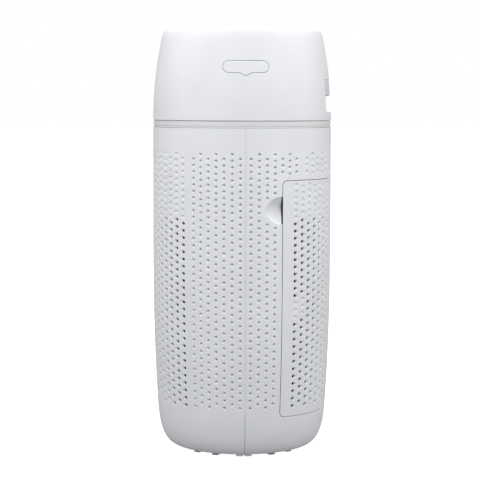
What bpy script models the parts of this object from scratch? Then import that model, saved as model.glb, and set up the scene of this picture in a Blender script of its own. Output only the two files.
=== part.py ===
"""Round tower air purifier: two half shells, a lift-up head with a carrying handle, a swing-open
filter door, a pull-out aroma tray, a top control panel, and the fan and filter inside."""
import bpy
import bmesh
from math import atan2, cos, pi, radians, sin, sqrt
from mathutils import Matrix, Vector

# Millimetres throughout; MM turns them into metres when a mesh is made.
MM = 0.001
GAP = 0.3

# Body: a cylinder that tapers gently and rounds into a flat bottom.
BODY_R = 115.0
WALL = 2.6
TAPER_TOP = 279.5
TAPER_END = 55.2
TAPER_SHARE = 0.051
TAPER_POWER = 2.6
CORNER = [(109.1, 55.2), (107.2, 26.5), (101.2, 3.4), (80.5, 3.4)]
FLANGE_R = 69.2
BASE_Z = 3.4
BODY_TOP = 415.6

# Accent ring and head.
RING_Z = (415.9, 424.5)
RING_R = (109.0, 113.4)
HEAD_BASE = 424.8
HEAD_SIDE = [(114.8, 424.8), (114.8, 465.8), (109.8, 501.4), (104.1, 527.9)]
HEAD_EDGE = [(104.1, 527.9), (102.9, 533.0), (101.2, 540.5), (96.6, 540.5)]
TOP_Z = 540.5
TOP_HOLE_R = 84.4

# Filter door and the scoop for a finger beside it.
DOOR_DEG = (23.6, 73.7)
DOOR_Z = (53.4, 351.2)
DOOR_CORNER = 7.0
DOOR_EDGE_DEG = 0.15
SCOOP_Z = 314.1
SCOOP_DEG = (11.3, 23.45)
SCOOP_HALF = (22.3, 12.0, 17.1)

# Handle recess in the back of the head.
HANDLE_DEG = (66.0, 114.0)
HANDLE_Z = (434.8, 476.4)
HANDLE_CORNER = 3.0
GRIP_Z = (455.6, 476.0)

# Aroma tray on the side of the head.
PILL_Z = 491.2
PILL_HALF = (28.65, 7.7)

# Air path.
DECK_Z = (353.0, 356.0)
SEAT_Z = (50.6, 53.7)
FILTER_R = 43.0
THROAT_R = 78.0

# Top centre.
PANEL_R = 42.6
BUTTON_RING_R = 26.0
BUTTON_R = 6.0
BUTTONS = 5

SEGS = 40


# ---------------------------------------------------------------- mesh helpers
def clear_scene():
    for old in list(bpy.data.objects):
        bpy.data.objects.remove(old)


def material(name, colour, roughness, metallic=0.0):
    mat = bpy.data.materials.new(name)
    mat.use_nodes = True
    shader = mat.node_tree.nodes["Principled BSDF"]
    shader.inputs["Base Color"].default_value = (*colour, 1.0)
    shader.inputs["Roughness"].default_value = roughness
    shader.inputs["Metallic"].default_value = metallic
    return mat


def make(name, points, faces, smooth=False):
    """A named object from points in millimetres and index faces, with its faces turned outward."""
    bm = bmesh.new()
    verts = [bm.verts.new(Vector(p) * MM) for p in points]
    for face in faces:
        corners = []
        for i in face:
            if verts[i] not in corners:
                corners.append(verts[i])
        if len(corners) > 2:
            bm.faces.new(corners)
    bmesh.ops.recalc_face_normals(bm, faces=bm.faces)
    mesh = bpy.data.meshes.new(name)
    bm.to_mesh(mesh)
    bm.free()
    for polygon in mesh.polygons:
        polygon.use_smooth = smooth
    obj = bpy.data.objects.new(name, mesh)
    bpy.context.collection.objects.link(obj)
    return obj


def lathe(name, loop, segs=SEGS, deg=(0.0, 360.0), smooth=True):
    """The closed (radius, height) loop turned about the Z axis, all the way or between two angles."""
    full = deg[1] - deg[0] > 359.9
    rows = segs if full else segs + 1
    points = []
    index = []
    poles = {}
    for row in range(rows):
        angle = radians(deg[0] + (deg[1] - deg[0]) * row / segs)
        line = []
        for k, (r, z) in enumerate(loop):
            if r < 1e-6 and k in poles:
                line.append(poles[k])
                continue
            points.append((r * cos(angle), r * sin(angle), z))
            line.append(len(points) - 1)
            if r < 1e-6:
                poles[k] = line[-1]
        index.append(line)
    faces = []
    for row in range(segs):
        here = index[row]
        there = index[(row + 1) % rows]
        for k in range(len(loop)):
            n = (k + 1) % len(loop)
            corners = (here[k], there[k], there[n], here[n])
            if len(set(corners)) > 2:
                faces.append(corners)
    if not full:
        faces.append(index[0])
        faces.append(index[-1])
    return make(name, points, faces, smooth)


def extrude(name, outline, low, high, axis="Z", smooth=False):
    """A flat outline carried from low to high along one axis."""
    count = len(outline)
    points = []
    for level in (low, high):
        for a, b in outline:
            if axis == "Z":
                points.append((a, b, level))
            elif axis == "X":
                points.append((level, a, b))
            else:
                points.append((a, level, b))
    faces = [range(count), range(count, 2 * count)]
    for k in range(count):
        n = (k + 1) % count
        faces.append((k, n, n + count, k + count))
    return make(name, points, faces, smooth)


def block(name, x, y, z):
    outline = [(x[0], y[0]), (x[1], y[0]), (x[1], y[1]), (x[0], y[1])]
    return extrude(name, outline, z[0], z[1])


def circle(radius, count, centre=(0.0, 0.0)):
    return [
        (centre[0] + radius * cos(2 * pi * k / count), centre[1] + radius * sin(2 * pi * k / count))
        for k in range(count)
    ]


def pill(half_long, half_tall, centre, steps=8):
    """A full-round slot outline, long along its first axis."""
    outline = []
    for side in (1, -1):
        for k in range(steps + 1):
            angle = -pi / 2 + pi * k / steps
            outline.append(
                (
                    centre[0] + side * (half_long - half_tall + half_tall * cos(angle)),
                    centre[1] + side * half_tall * sin(angle),
                )
            )
    return outline


def sector(name, deg, z, corner, radii, step=3.2):
    """A block between two angles, two heights and two radii, its four corners rounded."""
    mid_r = sum(radii) / 2
    ends = radians(deg[1] - deg[0])
    turn = corner / mid_r
    stations = []
    for k in range(5):
        part = 1 - cos(pi / 2 * k / 4)
        stations.append((turn * part, corner * (1 - sin(pi / 2 * k / 4))))
    count = max(2, round((ends - 2 * turn) / radians(step)))
    middle = [(turn + (ends - 2 * turn) * k / count, 0.0) for k in range(1, count)]
    mirrored = [(ends - a, lift) for a, lift in reversed(stations)]
    points = []
    faces = []
    line = stations + middle + mirrored
    for a, lift in line:
        angle = radians(deg[0]) + a
        for r in radii:
            for level in (z[0] + lift, z[1] - lift):
                points.append((r * cos(angle), r * sin(angle), level))
    for k in range(len(line) - 1):
        b = 4 * k
        for u, v in ((0, 1), (1, 3), (3, 2), (2, 0)):
            faces.append((b + u, b + v, b + 4 + v, b + 4 + u))
    faces.append((0, 1, 3, 2))
    last = 4 * (len(line) - 1)
    faces.append((last, last + 1, last + 3, last + 2))
    return make(name, points, faces)


def polar_block(name, deg, across, radii, z):
    """A plain box standing at an angle: across is its span along the tangent, radii its span outward."""
    angle = radians(deg)
    out = (cos(angle), sin(angle))
    side = (-sin(angle), cos(angle))
    outline = []
    for t, r in ((across[0], radii[0]), (across[1], radii[0]), (across[1], radii[1]), (across[0], radii[1])):
        outline.append((out[0] * r + side[0] * t, out[1] * r + side[1] * t))
    return extrude(name, outline, z[0], z[1])


def combine(target, tool, operation):
    """Join, cut or keep the overlap, with the tool hidden afterwards."""
    step = target.modifiers.new(tool.name, "BOOLEAN")
    step.operation = operation
    step.solver = "EXACT"
    step.object = tool
    tool.hide_render = True
    tool.display_type = "WIRE"
    return target


def cut(target, tool):
    return combine(target, tool, "DIFFERENCE")


def join(target, tool):
    return combine(target, tool, "UNION")


def keep(target, tool):
    return combine(target, tool, "INTERSECT")


def finish(obj, mat):
    obj.data.materials.append(mat)
    return obj


def set_origin(obj, at):
    """Moves the object's origin to a point in millimetres and leaves its shape where it is."""
    spot = Vector(at) * MM
    obj.data.transform(Matrix.Translation(-spot))
    obj.location = spot
    return obj


# ---------------------------------------------------------------- outlines
def bezier(ctrl, count, skip_first=False):
    found = []
    for k in range(1 if skip_first else 0, count + 1):
        t = k / count
        s = 1 - t
        weights = (s**3, 3 * s * s * t, 3 * s * t * t, t**3)
        found.append(tuple(sum(w * p[axis] for w, p in zip(weights, ctrl)) for axis in (0, 1)))
    return found


def taper_radius(z):
    """The outer wall's radius between the rim and the rounded bottom."""
    down = max(0.0, TAPER_TOP - z) / (TAPER_TOP - TAPER_END)
    return BODY_R * (1 - TAPER_SHARE * down**TAPER_POWER)


def offset_inward(line, depth):
    """An open (radius, height) line moved square to itself toward the axis."""
    moved = []
    for k, (r, z) in enumerate(line):
        before = line[max(0, k - 1)]
        after = line[min(len(line) - 1, k + 1)]
        dr = after[0] - before[0]
        dz = after[1] - before[1]
        size = sqrt(dr * dr + dz * dz)
        moved.append((r + depth * dz / size, z - depth * dr / size))
    return moved


def body_line(taper_steps=5, corner_steps=5):
    """The body's outer line from the rim down to the flat bottom."""
    line = [(BODY_R, BODY_TOP - 1.2), (BODY_R, TAPER_TOP)]
    for k in range(1, taper_steps):
        z = TAPER_TOP - (TAPER_TOP - TAPER_END) * k / taper_steps
        line.append((taper_radius(z), z))
    return line + bezier(CORNER, corner_steps)


def body_loop():
    outer = body_line()
    inner = offset_inward(outer, WALL)
    inner[-1] = (inner[-1][0], BASE_Z + WALL)
    inner[0] = (BODY_R - WALL, BODY_TOP)
    rim = [(BODY_R - WALL, BODY_TOP), (BODY_R - 0.9, BODY_TOP)]
    flange = [(FLANGE_R, BASE_Z), (FLANGE_R, BASE_Z + WALL)]
    return rim + outer + flange + list(reversed(inner[1:]))


def head_loop(depth=WALL, side_steps=5, edge_steps=3):
    outer = bezier(HEAD_SIDE, side_steps) + bezier(HEAD_EDGE, edge_steps, skip_first=True)
    inner = offset_inward(outer, -depth)
    inner[0] = (inner[0][0], HEAD_BASE)
    inner[-1] = (inner[-1][0], TOP_Z - depth)
    return outer + [(TOP_HOLE_R, TOP_Z), (TOP_HOLE_R, TOP_Z - depth)] + list(reversed(inner))


def head_inside(clearance):
    """A solid that fills the head up to just inside its wall."""
    outer = bezier(HEAD_SIDE, 5)
    inner = offset_inward(outer, -(WALL + clearance))
    inner[0] = (inner[0][0], HEAD_BASE)
    return [(0.0, HEAD_BASE)] + inner + [(0.0, inner[-1][1])]


# ---------------------------------------------------------------- shells
def seam_foot(name, deg):
    """The block under each half shell beside the seam, and under the front and back."""
    return polar_block(name, deg, (-4.6, 4.6), (69.6, 80.0), (0.0, 4.4))


def front_shell(mats):
    half_gap = 0.075
    shell = lathe("front_shell", body_loop(), SEGS // 2, (-180 + half_gap, -half_gap))
    for k, deg in enumerate((-3.9, -78.0, -102.0, -176.1)):
        join(shell, seam_foot(f"front_foot_{k}", deg))
    return finish(shell, mats["shell"])


def rear_shell(mats):
    half_gap = 0.075
    shell = lathe("rear_shell", body_loop(), SEGS // 2, (half_gap, 180 - half_gap))
    for k, deg in enumerate((3.9, 78.0, 102.0, 176.1)):
        join(shell, seam_foot(f"rear_foot_{k}", deg))
    scoop_z = (SCOOP_Z - SCOOP_HALF[2] - 3.2, SCOOP_Z + SCOOP_HALF[2] + 3.2)
    join(shell, sector("scoop_block", SCOOP_DEG, scoop_z, 4.0, (98.6, 113.6)))
    cut(shell, sector("door_opening", DOOR_DEG, DOOR_Z, DOOR_CORNER, (95.0, 125.0)))
    ball = bmesh.new()
    bmesh.ops.create_uvsphere(ball, u_segments=16, v_segments=10, radius=1.0)
    turn = Matrix.Rotation(radians(DOOR_DEG[0]), 4, "Z")
    size = Matrix.Diagonal((SCOOP_HALF[1], SCOOP_HALF[0], SCOOP_HALF[2], 1.0))
    ball.transform(turn @ Matrix.Translation((BODY_R, 0, SCOOP_Z)) @ size)
    bmesh.ops.scale(ball, vec=(MM, MM, MM), verts=ball.verts)
    mesh = bpy.data.meshes.new("scoop")
    ball.to_mesh(mesh)
    ball.free()
    scoop = bpy.data.objects.new("scoop", mesh)
    bpy.context.collection.objects.link(scoop)
    cut(shell, scoop)
    cut(shell, block("inlet_opening", (-13.0, 13.0), (90.0, 125.0), (33.0, 47.0)))
    return finish(shell, mats["shell"])


def door_hook(name, z):
    """A tab that reaches behind the rear shell's edge and holds the door's hinge side."""
    wall_r = taper_radius(z[0])
    hook = polar_block(name, DOOR_DEG[1], (-6.0, -2.0), (wall_r - 5.6, wall_r - 1.6), z)
    arm = polar_block(name + "_arm", DOOR_DEG[1], (-6.0, 4.5), (wall_r - 5.6, wall_r - 3.3), z)
    return hook, arm


def filter_door(mats):
    deg = (DOOR_DEG[0] + DOOR_EDGE_DEG, DOOR_DEG[1] - DOOR_EDGE_DEG)
    z = (DOOR_Z[0] + GAP, DOOR_Z[1] - GAP)
    outer = [(BODY_R, 365.0), (BODY_R, TAPER_TOP)]
    for k in range(1, 6):
        level = TAPER_TOP - (TAPER_TOP - TAPER_END) * k / 5
        outer.append((taper_radius(level), level))
    outer.append((108.4, 42.0))
    inner = [(r - WALL, level) for r, level in reversed(outer)]
    door = lathe("filter_door", outer + inner, 10, (9.0, 99.0))
    keep(door, sector("door_outline", deg, z, DOOR_CORNER - GAP, (95.0, 125.0)))
    for k, low in enumerate((92.0, 196.0, 300.0)):
        hook, arm = door_hook(f"door_hook_{k}", (low, low + 16.0))
        join(door, hook)
        join(door, arm)
    join(door, polar_block("door_prong", 27.5, (-1.0, 1.0), (104.6, 113.4), (184.0, 198.0)))
    axis = (BODY_R * cos(radians(DOOR_DEG[1])), BODY_R * sin(radians(DOOR_DEG[1])), 0.0)
    set_origin(door, axis)
    return finish(door, mats["door"]), axis


def door_magnet(mats, axis):
    magnet = polar_block("door_magnet", 31.0, (-4.0, 4.0), (107.4, 111.5), (336.0, 344.0))
    return finish(set_origin(magnet, axis), mats["magnet"])


def latch_catch(mats):
    catch = polar_block("latch_catch", 21.0, (-5.0, 3.8), (103.6, 111.0), (182.0, 200.0))
    join(catch, polar_block("latch_arm", 21.0, (-5.0, 9.8), (103.6, 107.0), (182.0, 200.0)))
    return finish(catch, mats["chassis"])


def interlock_switch(mats):
    switch = polar_block("interlock_switch", 31.0, (-4.5, 4.5), (95.0, 104.5), (334.0, 352.6))
    join(switch, polar_block("switch_nib", 31.0, (-2.0, 2.0), (104.0, 106.2), (338.0, 342.0)))
    return finish(switch, mats["switch"])


def accent_ring(mats):
    loop = [
        (RING_R[0], RING_Z[0]),
        (RING_R[1], RING_Z[0]),
        (RING_R[1], RING_Z[1]),
        (RING_R[0], RING_Z[1]),
    ]
    return finish(lathe("accent_ring", loop), mats["ring"])


def head_shell(mats):
    head = lathe("head_shell", head_loop())
    cut(head, sector("handle_opening", HANDLE_DEG, HANDLE_Z, HANDLE_CORNER, (90.0, 125.0)))
    outline = pill(PILL_HALF[0], PILL_HALF[1], (0.0, PILL_Z))
    cut(head, extrude("pill_opening", outline, 95.0, 125.0, "X"))
    return finish(head, mats["shell"])


# ---------------------------------------------------------------- handle
def handle_cup(mats):
    cup = block("handle_cup", (-49.4, 49.4), (81.6, 116.0), (432.2, 482.0))
    cut(cup, block("cup_inside", (-46.9, 46.9), (84.0, 120.0), (434.6, 479.6)))
    keep(cup, lathe("cup_limit", head_inside(0.6), SEGS))
    return finish(cup, mats["cup"])


def handle_grip(mats):
    loop = [
        (104.0, GRIP_Z[1]),
        (104.0, GRIP_Z[0] + 3.0),
        (106.5, GRIP_Z[0]),
        (111.4, GRIP_Z[0]),
        (112.9, GRIP_Z[0] + 2.0),
        (111.7, GRIP_Z[1] - 0.6),
        (111.2, GRIP_Z[1]),
    ]
    grip = lathe("handle_grip", loop, 12, (HANDLE_DEG[0] - 2.0, HANDLE_DEG[1] + 2.0))
    deg = (HANDLE_DEG[0] + 0.35, HANDLE_DEG[1] - 0.35)
    keep(grip, sector("grip_outline", deg, (HANDLE_Z[0], GRIP_Z[1]), HANDLE_CORNER - 0.4, (90.0, 125.0)))
    for side in (-1, 1):
        x = sorted((side * 38.0, side * 46.5))
        join(grip, block(f"grip_end_{side + 1}", x, (88.0, 98.5), (457.4, 475.0)))
    return finish(grip, mats["grip"])


# ---------------------------------------------------------------- aroma tray
def aroma_tray(mats):
    outer = bezier(HEAD_SIDE, 5)
    inner = offset_inward(outer, -WALL)
    tray = lathe("aroma_tray", outer + list(reversed(inner)), 6, (-27.0, 27.0))
    outline = pill(PILL_HALF[0] - 0.4, PILL_HALF[1] - 0.4, (0.0, PILL_Z))
    keep(tray, extrude("pill_outline", outline, 95.0, 125.0, "X"))
    join(tray, block("tray_box", (84.0, 107.8), (-21.0, 21.0), (486.4, 495.8)))
    cut(tray, block("tray_inside", (85.8, 105.0), (-19.2, 19.2), (488.0, 499.0)))
    join(tray, block("tab_root", (108.4, 112.8), (-6.4, 6.4), (484.3, 488.0)))
    triangle = [(-7.2, 488.0), (-7.2, 484.4), (0.0, 479.8), (7.2, 484.4), (7.2, 488.0)]
    join(tray, extrude("tab_tip", triangle, 112.2, 113.0, "X"))
    return finish(tray, mats["tray"])


def aroma_pad(mats):
    pad = block("aroma_pad", (86.2, 104.6), (-18.8, 18.8), (488.3, 494.6))
    return finish(pad, mats["pad"])


def tray_guide(mats):
    guide = block("tray_guide", (81.4, 103.2), (-24.0, 24.0), (483.4, 498.8))
    cut(guide, block("guide_inside", (83.2, 120.0), (-21.5, 21.5), (485.6, 496.6)))
    return finish(guide, mats["chassis"])


# ---------------------------------------------------------------- top
def button_spot(k):
    angle = radians(-90 + (k - (BUTTONS - 1) / 2) * 42.0)
    return BUTTON_RING_R * cos(angle), BUTTON_RING_R * sin(angle)


def top_grille(mats):
    def hoop(name, inner, outer, z, segs):
        return lathe(name, [(inner, z[0]), (outer, z[0]), (outer, z[1]), (inner, z[1])], segs)

    grille = hoop("top_grille", 81.4, 84.1, (533.0, 540.2), SEGS)
    spokes = 16
    points = []
    faces = []
    for k in range(spokes):
        angle = 2 * pi * (k + 0.5) / spokes
        out = (cos(angle), sin(angle))
        side = (-sin(angle), cos(angle))
        base = len(points)
        for z in (534.0, 539.6):
            for r, t in ((44.2, -0.9), (82.4, -0.9), (82.4, 0.9), (44.2, 0.9)):
                points.append((out[0] * r + side[0] * t, out[1] * r + side[1] * t, z))
        for quad in ((0, 1, 2, 3), (4, 5, 6, 7), (0, 1, 5, 4), (1, 2, 6, 5), (2, 3, 7, 6), (3, 0, 4, 7)):
            faces.append([base + i for i in quad])
    join(grille, make("grille_spokes", points, faces))
    join(grille, hoop("grille_inner", 43.0, 45.2, (533.0, 540.2), 28))
    return finish(grille, mats["grille"])


def control_panel(mats):
    panel = extrude("control_panel", circle(PANEL_R, 28), 538.2, 540.4)
    rim = [(PANEL_R - 1.6, 530.0), (PANEL_R - 0.02, 530.0), (PANEL_R - 0.02, 538.8), (PANEL_R - 1.6, 538.8)]
    join(panel, lathe("panel_rim", rim, 28))
    for k in range(BUTTONS):
        hole = circle(BUTTON_R + GAP, 16, button_spot(k))
        cut(panel, extrude(f"button_hole_{k}", hole, 536.0, 545.0))
    window = pill(13.0, 6.0, (0.0, 5.0))
    cut(panel, extrude("display_window", window, 536.0, 545.0))
    return finish(panel, mats["panel"])


def display_lens(mats):
    lens = extrude("display_lens", pill(12.7, 5.7, (0.0, 5.0)), 537.2, 540.3)
    join(lens, extrude("lens_flange", pill(14.5, 7.5, (0.0, 5.0)), 536.0, 537.8))
    return finish(lens, mats["lens"])


def push_button(k, mats):
    x, y = button_spot(k)
    loop = [(0.0, 534.4), (7.2, 534.4), (7.2, 535.8), (BUTTON_R, 535.8), (BUTTON_R, 540.0), (5.4, 540.4)]
    loop.append((0.0, 540.4))
    button = lathe(f"button_{k + 1}", loop, 16)
    button.data.transform(Matrix.Translation(Vector((x, y, 0.0)) * MM))
    set_origin(button, (x, y, 540.4))
    return finish(button, mats["button"])


def panel_tub(mats):
    loop = [
        (0.0, 500.0),
        (22.0, 501.5),
        (36.0, 509.0),
        (PANEL_R, 522.0),
        (PANEL_R, 529.7),
        (PANEL_R - 1.8, 529.7),
        (PANEL_R - 1.8, 522.6),
        (34.8, 510.6),
        (21.6, 503.4),
        (0.0, 502.0),
    ]
    return finish(lathe("panel_tub", loop, 20), mats["chassis"])


def control_board(mats):
    board = extrude("control_board", circle(39.6, 20), 530.6, 532.2)
    for k in range(BUTTONS):
        x, y = button_spot(k)
        join(board, block(f"key_switch_{k}", (x - 2.6, x + 2.6), (y - 2.6, y + 2.6), (532.0, 533.1)))
    join(board, block("display_block", (-11.0, 11.0), (0.5, 9.5), (532.0, 535.4)))
    join(board, block("board_chip", (-5.0, 5.0), (16.0, 24.0), (532.0, 534.0)))
    return finish(board, mats["board"])


# ---------------------------------------------------------------- fan
def air_duct(mats):
    loop = [(THROAT_R - 2, 438.0), (THROAT_R, 438.0), (THROAT_R, 533.4), (THROAT_R - 2, 533.4)]
    return finish(lathe("air_duct", loop, 28), mats["chassis"])


def fan_housing(mats):
    outer = [(106.0, 356.3), (106.0, 398.0), (102.0, 411.0), (93.0, 421.0), (83.0, 427.4), (79.8, 432.0)]
    outer.append((79.8, 437.7))
    inner = [(r - 2.0, z - (1.4 if 400 < z < 430 else 0.0)) for r, z in reversed(outer)]
    return finish(lathe("fan_housing", outer + inner, 28), mats["chassis"])


def motor_mount(mats):
    ring = [(73.6, 433.0), (77.4, 433.0), (77.4, 437.6), (73.6, 437.6)]
    mount = lathe("motor_mount", ring, 28)
    for k in range(2):
        size = ((-75.0, 75.0), (-4.0, 4.0))
        x, y = size if k == 0 else (size[1], size[0])
        join(mount, block(f"mount_arm_{k}", x, y, (433.4, 437.2)))
    plate = extrude("mount_plate", circle(33.0, 20), 433.2, 436.0)
    join(mount, plate)
    return finish(mount, mats["chassis"])


def fan_motor(mats):
    loop = [
        (3.5, 398.0),
        (27.5, 398.0),
        (30.0, 400.5),
        (30.0, 430.0),
        (27.5, 432.8),
        (0.0, 432.8),
        (0.0, 407.0),
        (3.5, 407.0),
    ]
    return finish(lathe("fan_motor", loop, 20), mats["motor"])


def motor_shaft(mats):
    loop = [(0.0, 377.0), (2.6, 377.0), (3.0, 377.4), (3.0, 406.0), (2.6, 406.4), (0.0, 406.4)]
    return finish(lathe("motor_shaft", loop, 16), mats["steel"])


def fan_blade_points(start, count=5):
    """One backward-curved blade seen from above, as an outline."""
    line = []
    for k in range(count):
        t = k / (count - 1)
        r = 41.0 + 32.2 * t
        angle = start - radians(44.0) * t**0.9
        line.append((r, angle))
    half = 1.1
    left = []
    right = []
    for k, (r, angle) in enumerate(line):
        a = line[max(0, k - 1)]
        b = line[min(count - 1, k + 1)]
        ax, ay = a[0] * cos(a[1]), a[0] * sin(a[1])
        bx, by = b[0] * cos(b[1]), b[0] * sin(b[1])
        way = atan2(by - ay, bx - ax)
        x, y = r * cos(angle), r * sin(angle)
        left.append((x - half * sin(way), y + half * cos(way)))
        right.append((x + half * sin(way), y - half * cos(way)))
    return left + list(reversed(right))


def fan_impeller(mats):
    hub = [
        (3.3, 377.5),
        (9.0, 377.5),
        (10.0, 386.0),
        (20.0, 390.0),
        (74.0, 390.0),
        (74.0, 392.6),
        (3.3, 392.6),
    ]
    fan = lathe("fan_impeller", hub, 24)
    points = []
    faces = []
    blades = 9
    for k in range(blades):
        outline = fan_blade_points(2 * pi * k / blades)
        base = len(points)
        n = len(outline)
        points += [(x, y, 362.8) for x, y in outline] + [(x, y, 390.8) for x, y in outline]
        half = n // 2
        for i in range(half - 1):
            quad = (i, i + 1, n - 2 - i, n - 1 - i)
            faces.append([base + j for j in quad])
            faces.append([base + n + j for j in quad])
        for i in range(n):
            j = (i + 1) % n
            faces.append([base + i, base + j, base + n + j, base + n + i])
    join(fan, make("fan_blades", points, faces))
    shroud = [(44.0, 360.8), (74.0, 361.6), (74.0, 363.6), (44.0, 363.6)]
    join(fan, lathe("fan_shroud", shroud, 24))
    return finish(fan, mats["fan"])


def fan_deck(mats):
    loop = [(42.0, DECK_Z[0]), (111.4, DECK_Z[0]), (111.4, DECK_Z[1]), (42.0, DECK_Z[1])]
    return finish(lathe("fan_deck", loop, 28), mats["chassis"])


def inlet_guard(mats):
    z = DECK_Z
    rim = [(38.6, z[0] + 0.2), (41.6, z[0] + 0.2), (41.6, z[1] + 1.0), (38.6, z[1] + 1.0)]
    guard = lathe("inlet_guard", rim, 24)
    for k in range(3):
        angle = pi * k / 3
        out = (cos(angle), sin(angle))
        outline = []
        for r, t in ((-39.6, -1.0), (39.6, -1.0), (39.6, 1.0), (-39.6, 1.0)):
            outline.append((out[0] * r - out[1] * t, out[1] * r + out[0] * t))
        join(guard, extrude(f"guard_bar_{k}", outline, z[0] + 0.6, z[1]))
    hoop = [(19.0, z[0] + 0.4), (21.0, z[0] + 0.4), (21.0, z[1] + 0.4), (19.0, z[1] + 0.4)]
    join(guard, lathe("guard_hoop", hoop, 16))
    return finish(guard, mats["grille"])


# ---------------------------------------------------------------- chassis and filter
def pillar(k, deg, mats):
    centre = (98.0 * cos(radians(deg)), 98.0 * sin(radians(deg)))
    post = extrude(f"pillar_{k + 1}", circle(4.0, 8, centre), SEAT_Z[1] + 0.1, DECK_Z[0] - 0.1, smooth=False)
    return finish(post, mats["chassis"])


def filter_seat(mats):
    seat = extrude("filter_seat", circle(104.0, 28), SEAT_Z[0], SEAT_Z[1])
    fence = [(43.9, 52.5), (45.9, 52.5), (45.9, 68.0), (43.9, 68.0)]
    join(seat, lathe("filter_fence", fence, 10, (148.0, 310.0)))
    return finish(seat, mats["chassis"])


def filter_cap_bottom(mats):
    loop = [(0.0, 54.0), (FILTER_R, 54.0), (FILTER_R, 64.0), (42.1, 64.0), (42.1, 57.5), (0.0, 57.5)]
    return finish(lathe("filter_cap_bottom", loop, 24), mats["cap"])


def filter_cap_top(mats):
    loop = [
        (22.0, 343.6),
        (FILTER_R, 343.6),
        (FILTER_R, 333.6),
        (42.1, 333.6),
        (42.1, 340.1),
        (22.0, 340.1),
    ]
    return finish(lathe("filter_cap_top", loop, 24), mats["cap"])


def tube(name, outer, inner, z):
    """A straight tube between two loops with the same number of points."""
    n = len(outer)
    points = []
    for loop, level in ((outer, z[0]), (outer, z[1]), (inner, z[1]), (inner, z[0])):
        points += [(x, y, level) for x, y in loop]
    faces = []
    for ring in range(4):
        nxt = (ring + 1) % 4
        for k in range(n):
            j = (k + 1) % n
            faces.append((ring * n + k, ring * n + j, nxt * n + j, nxt * n + k))
    return make(name, points, faces)


def filter_media(mats):
    pleats = 24
    outer = []
    inner = []
    for k in range(2 * pleats):
        angle = pi * k / pleats
        out_r, in_r = (40.4, 38.4) if k % 2 == 0 else (31.2, 29.0)
        outer.append((out_r * cos(angle), out_r * sin(angle)))
        inner.append((in_r * cos(angle), in_r * sin(angle)))
    return finish(tube("filter_media", outer, inner, (57.8, 339.8)), mats["media"])


def prefilter_sleeve(mats):
    sleeve = tube("prefilter_sleeve", circle(41.7, 24), circle(40.8, 24), (57.8, 339.8))
    return finish(sleeve, mats["sleeve"])


def carbon_core(mats):
    core = tube("carbon_core", circle(28.4, 20), circle(24.4, 20), (57.8, 339.8))
    return finish(core, mats["carbon"])


def filter_gasket(mats):
    loop = [(26.0, 343.9), (38.0, 343.9), (39.0, 345.4), (39.0, 351.0), (38.0, 352.8), (26.0, 352.8)]
    return finish(lathe("filter_gasket", loop, 20), mats["foam"])


def filter_pull_tab(mats):
    centre = sum(DOOR_DEG) / 2
    tab = polar_block("filter_pull_tab", centre, (-9.0, 9.0), (43.4, 44.4), (292.0, 342.6))
    return finish(tab, mats["ribbon"])


# ---------------------------------------------------------------- base
def base_pan(mats):
    loop = [(0.0, BASE_Z), (68.9, BASE_Z), (68.9, BASE_Z + WALL), (0.0, BASE_Z + WALL)]
    return finish(lathe("base_pan", loop, 28), mats["base"])


def foot_pad(k, deg, mats):
    pad = polar_block(f"foot_pad_{k + 1}", deg, (-4.0, 4.0), (69.8, 79.8), (0.0, BASE_Z - 0.2))
    return finish(pad, mats["rubber"])


def base_screw(k, mats):
    angle = radians(45 + 90 * k)
    spot = (60.0 * cos(angle), 60.0 * sin(angle), 0.0)
    loop = [(0.0, 1.6), (2.6, 1.6), (3.2, 2.2), (3.2, 3.2), (0.0, 3.2)]
    screw = lathe(f"base_screw_{k + 1}", loop, 10)
    screw.data.transform(Matrix.Translation(Vector(spot) * MM))
    return finish(screw, mats["steel"])


def power_board(mats):
    board = block("power_board", (-42.0, 30.0), (-45.0, 15.0), (14.0, 15.6))
    parts = [
        ((-36.0, -12.0), (-36.0, -14.0), (15.2, 36.0)),
        ((-4.0, 22.0), (-38.0, -20.0), (15.2, 30.0)),
        ((-34.0, -18.0), (-6.0, 9.0), (15.2, 26.0)),
        ((2.0, 24.0), (-10.0, 8.0), (15.2, 22.0)),
    ]
    for k, (x, y, z) in enumerate(parts):
        join(board, block(f"board_part_{k}", x, y, z))
    for k, (x, y) in enumerate(((-38.0, -41.0), (26.0, -41.0), (-38.0, 11.0), (26.0, 11.0))):
        join(board, extrude(f"standoff_{k}", circle(2.6, 8, (x, y)), BASE_Z + WALL + 0.2, 14.4))
    return finish(board, mats["board"])


def power_inlet(mats):
    socket = block("power_inlet", (-12.6, 12.6), (86.0, 106.2), (33.4, 46.6))
    cut(socket, extrude("inlet_cavity", pill(8.8, 4.6, (0.0, 40.0)), 95.0, 110.0, "Y"))
    for side in (-1, 1):
        join(socket, extrude(f"inlet_pin_{side + 1}", circle(1.2, 10, (side * 4.3, 40.0)), 94.4, 103.0, "Y"))
    return finish(socket, mats["socket"])


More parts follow.
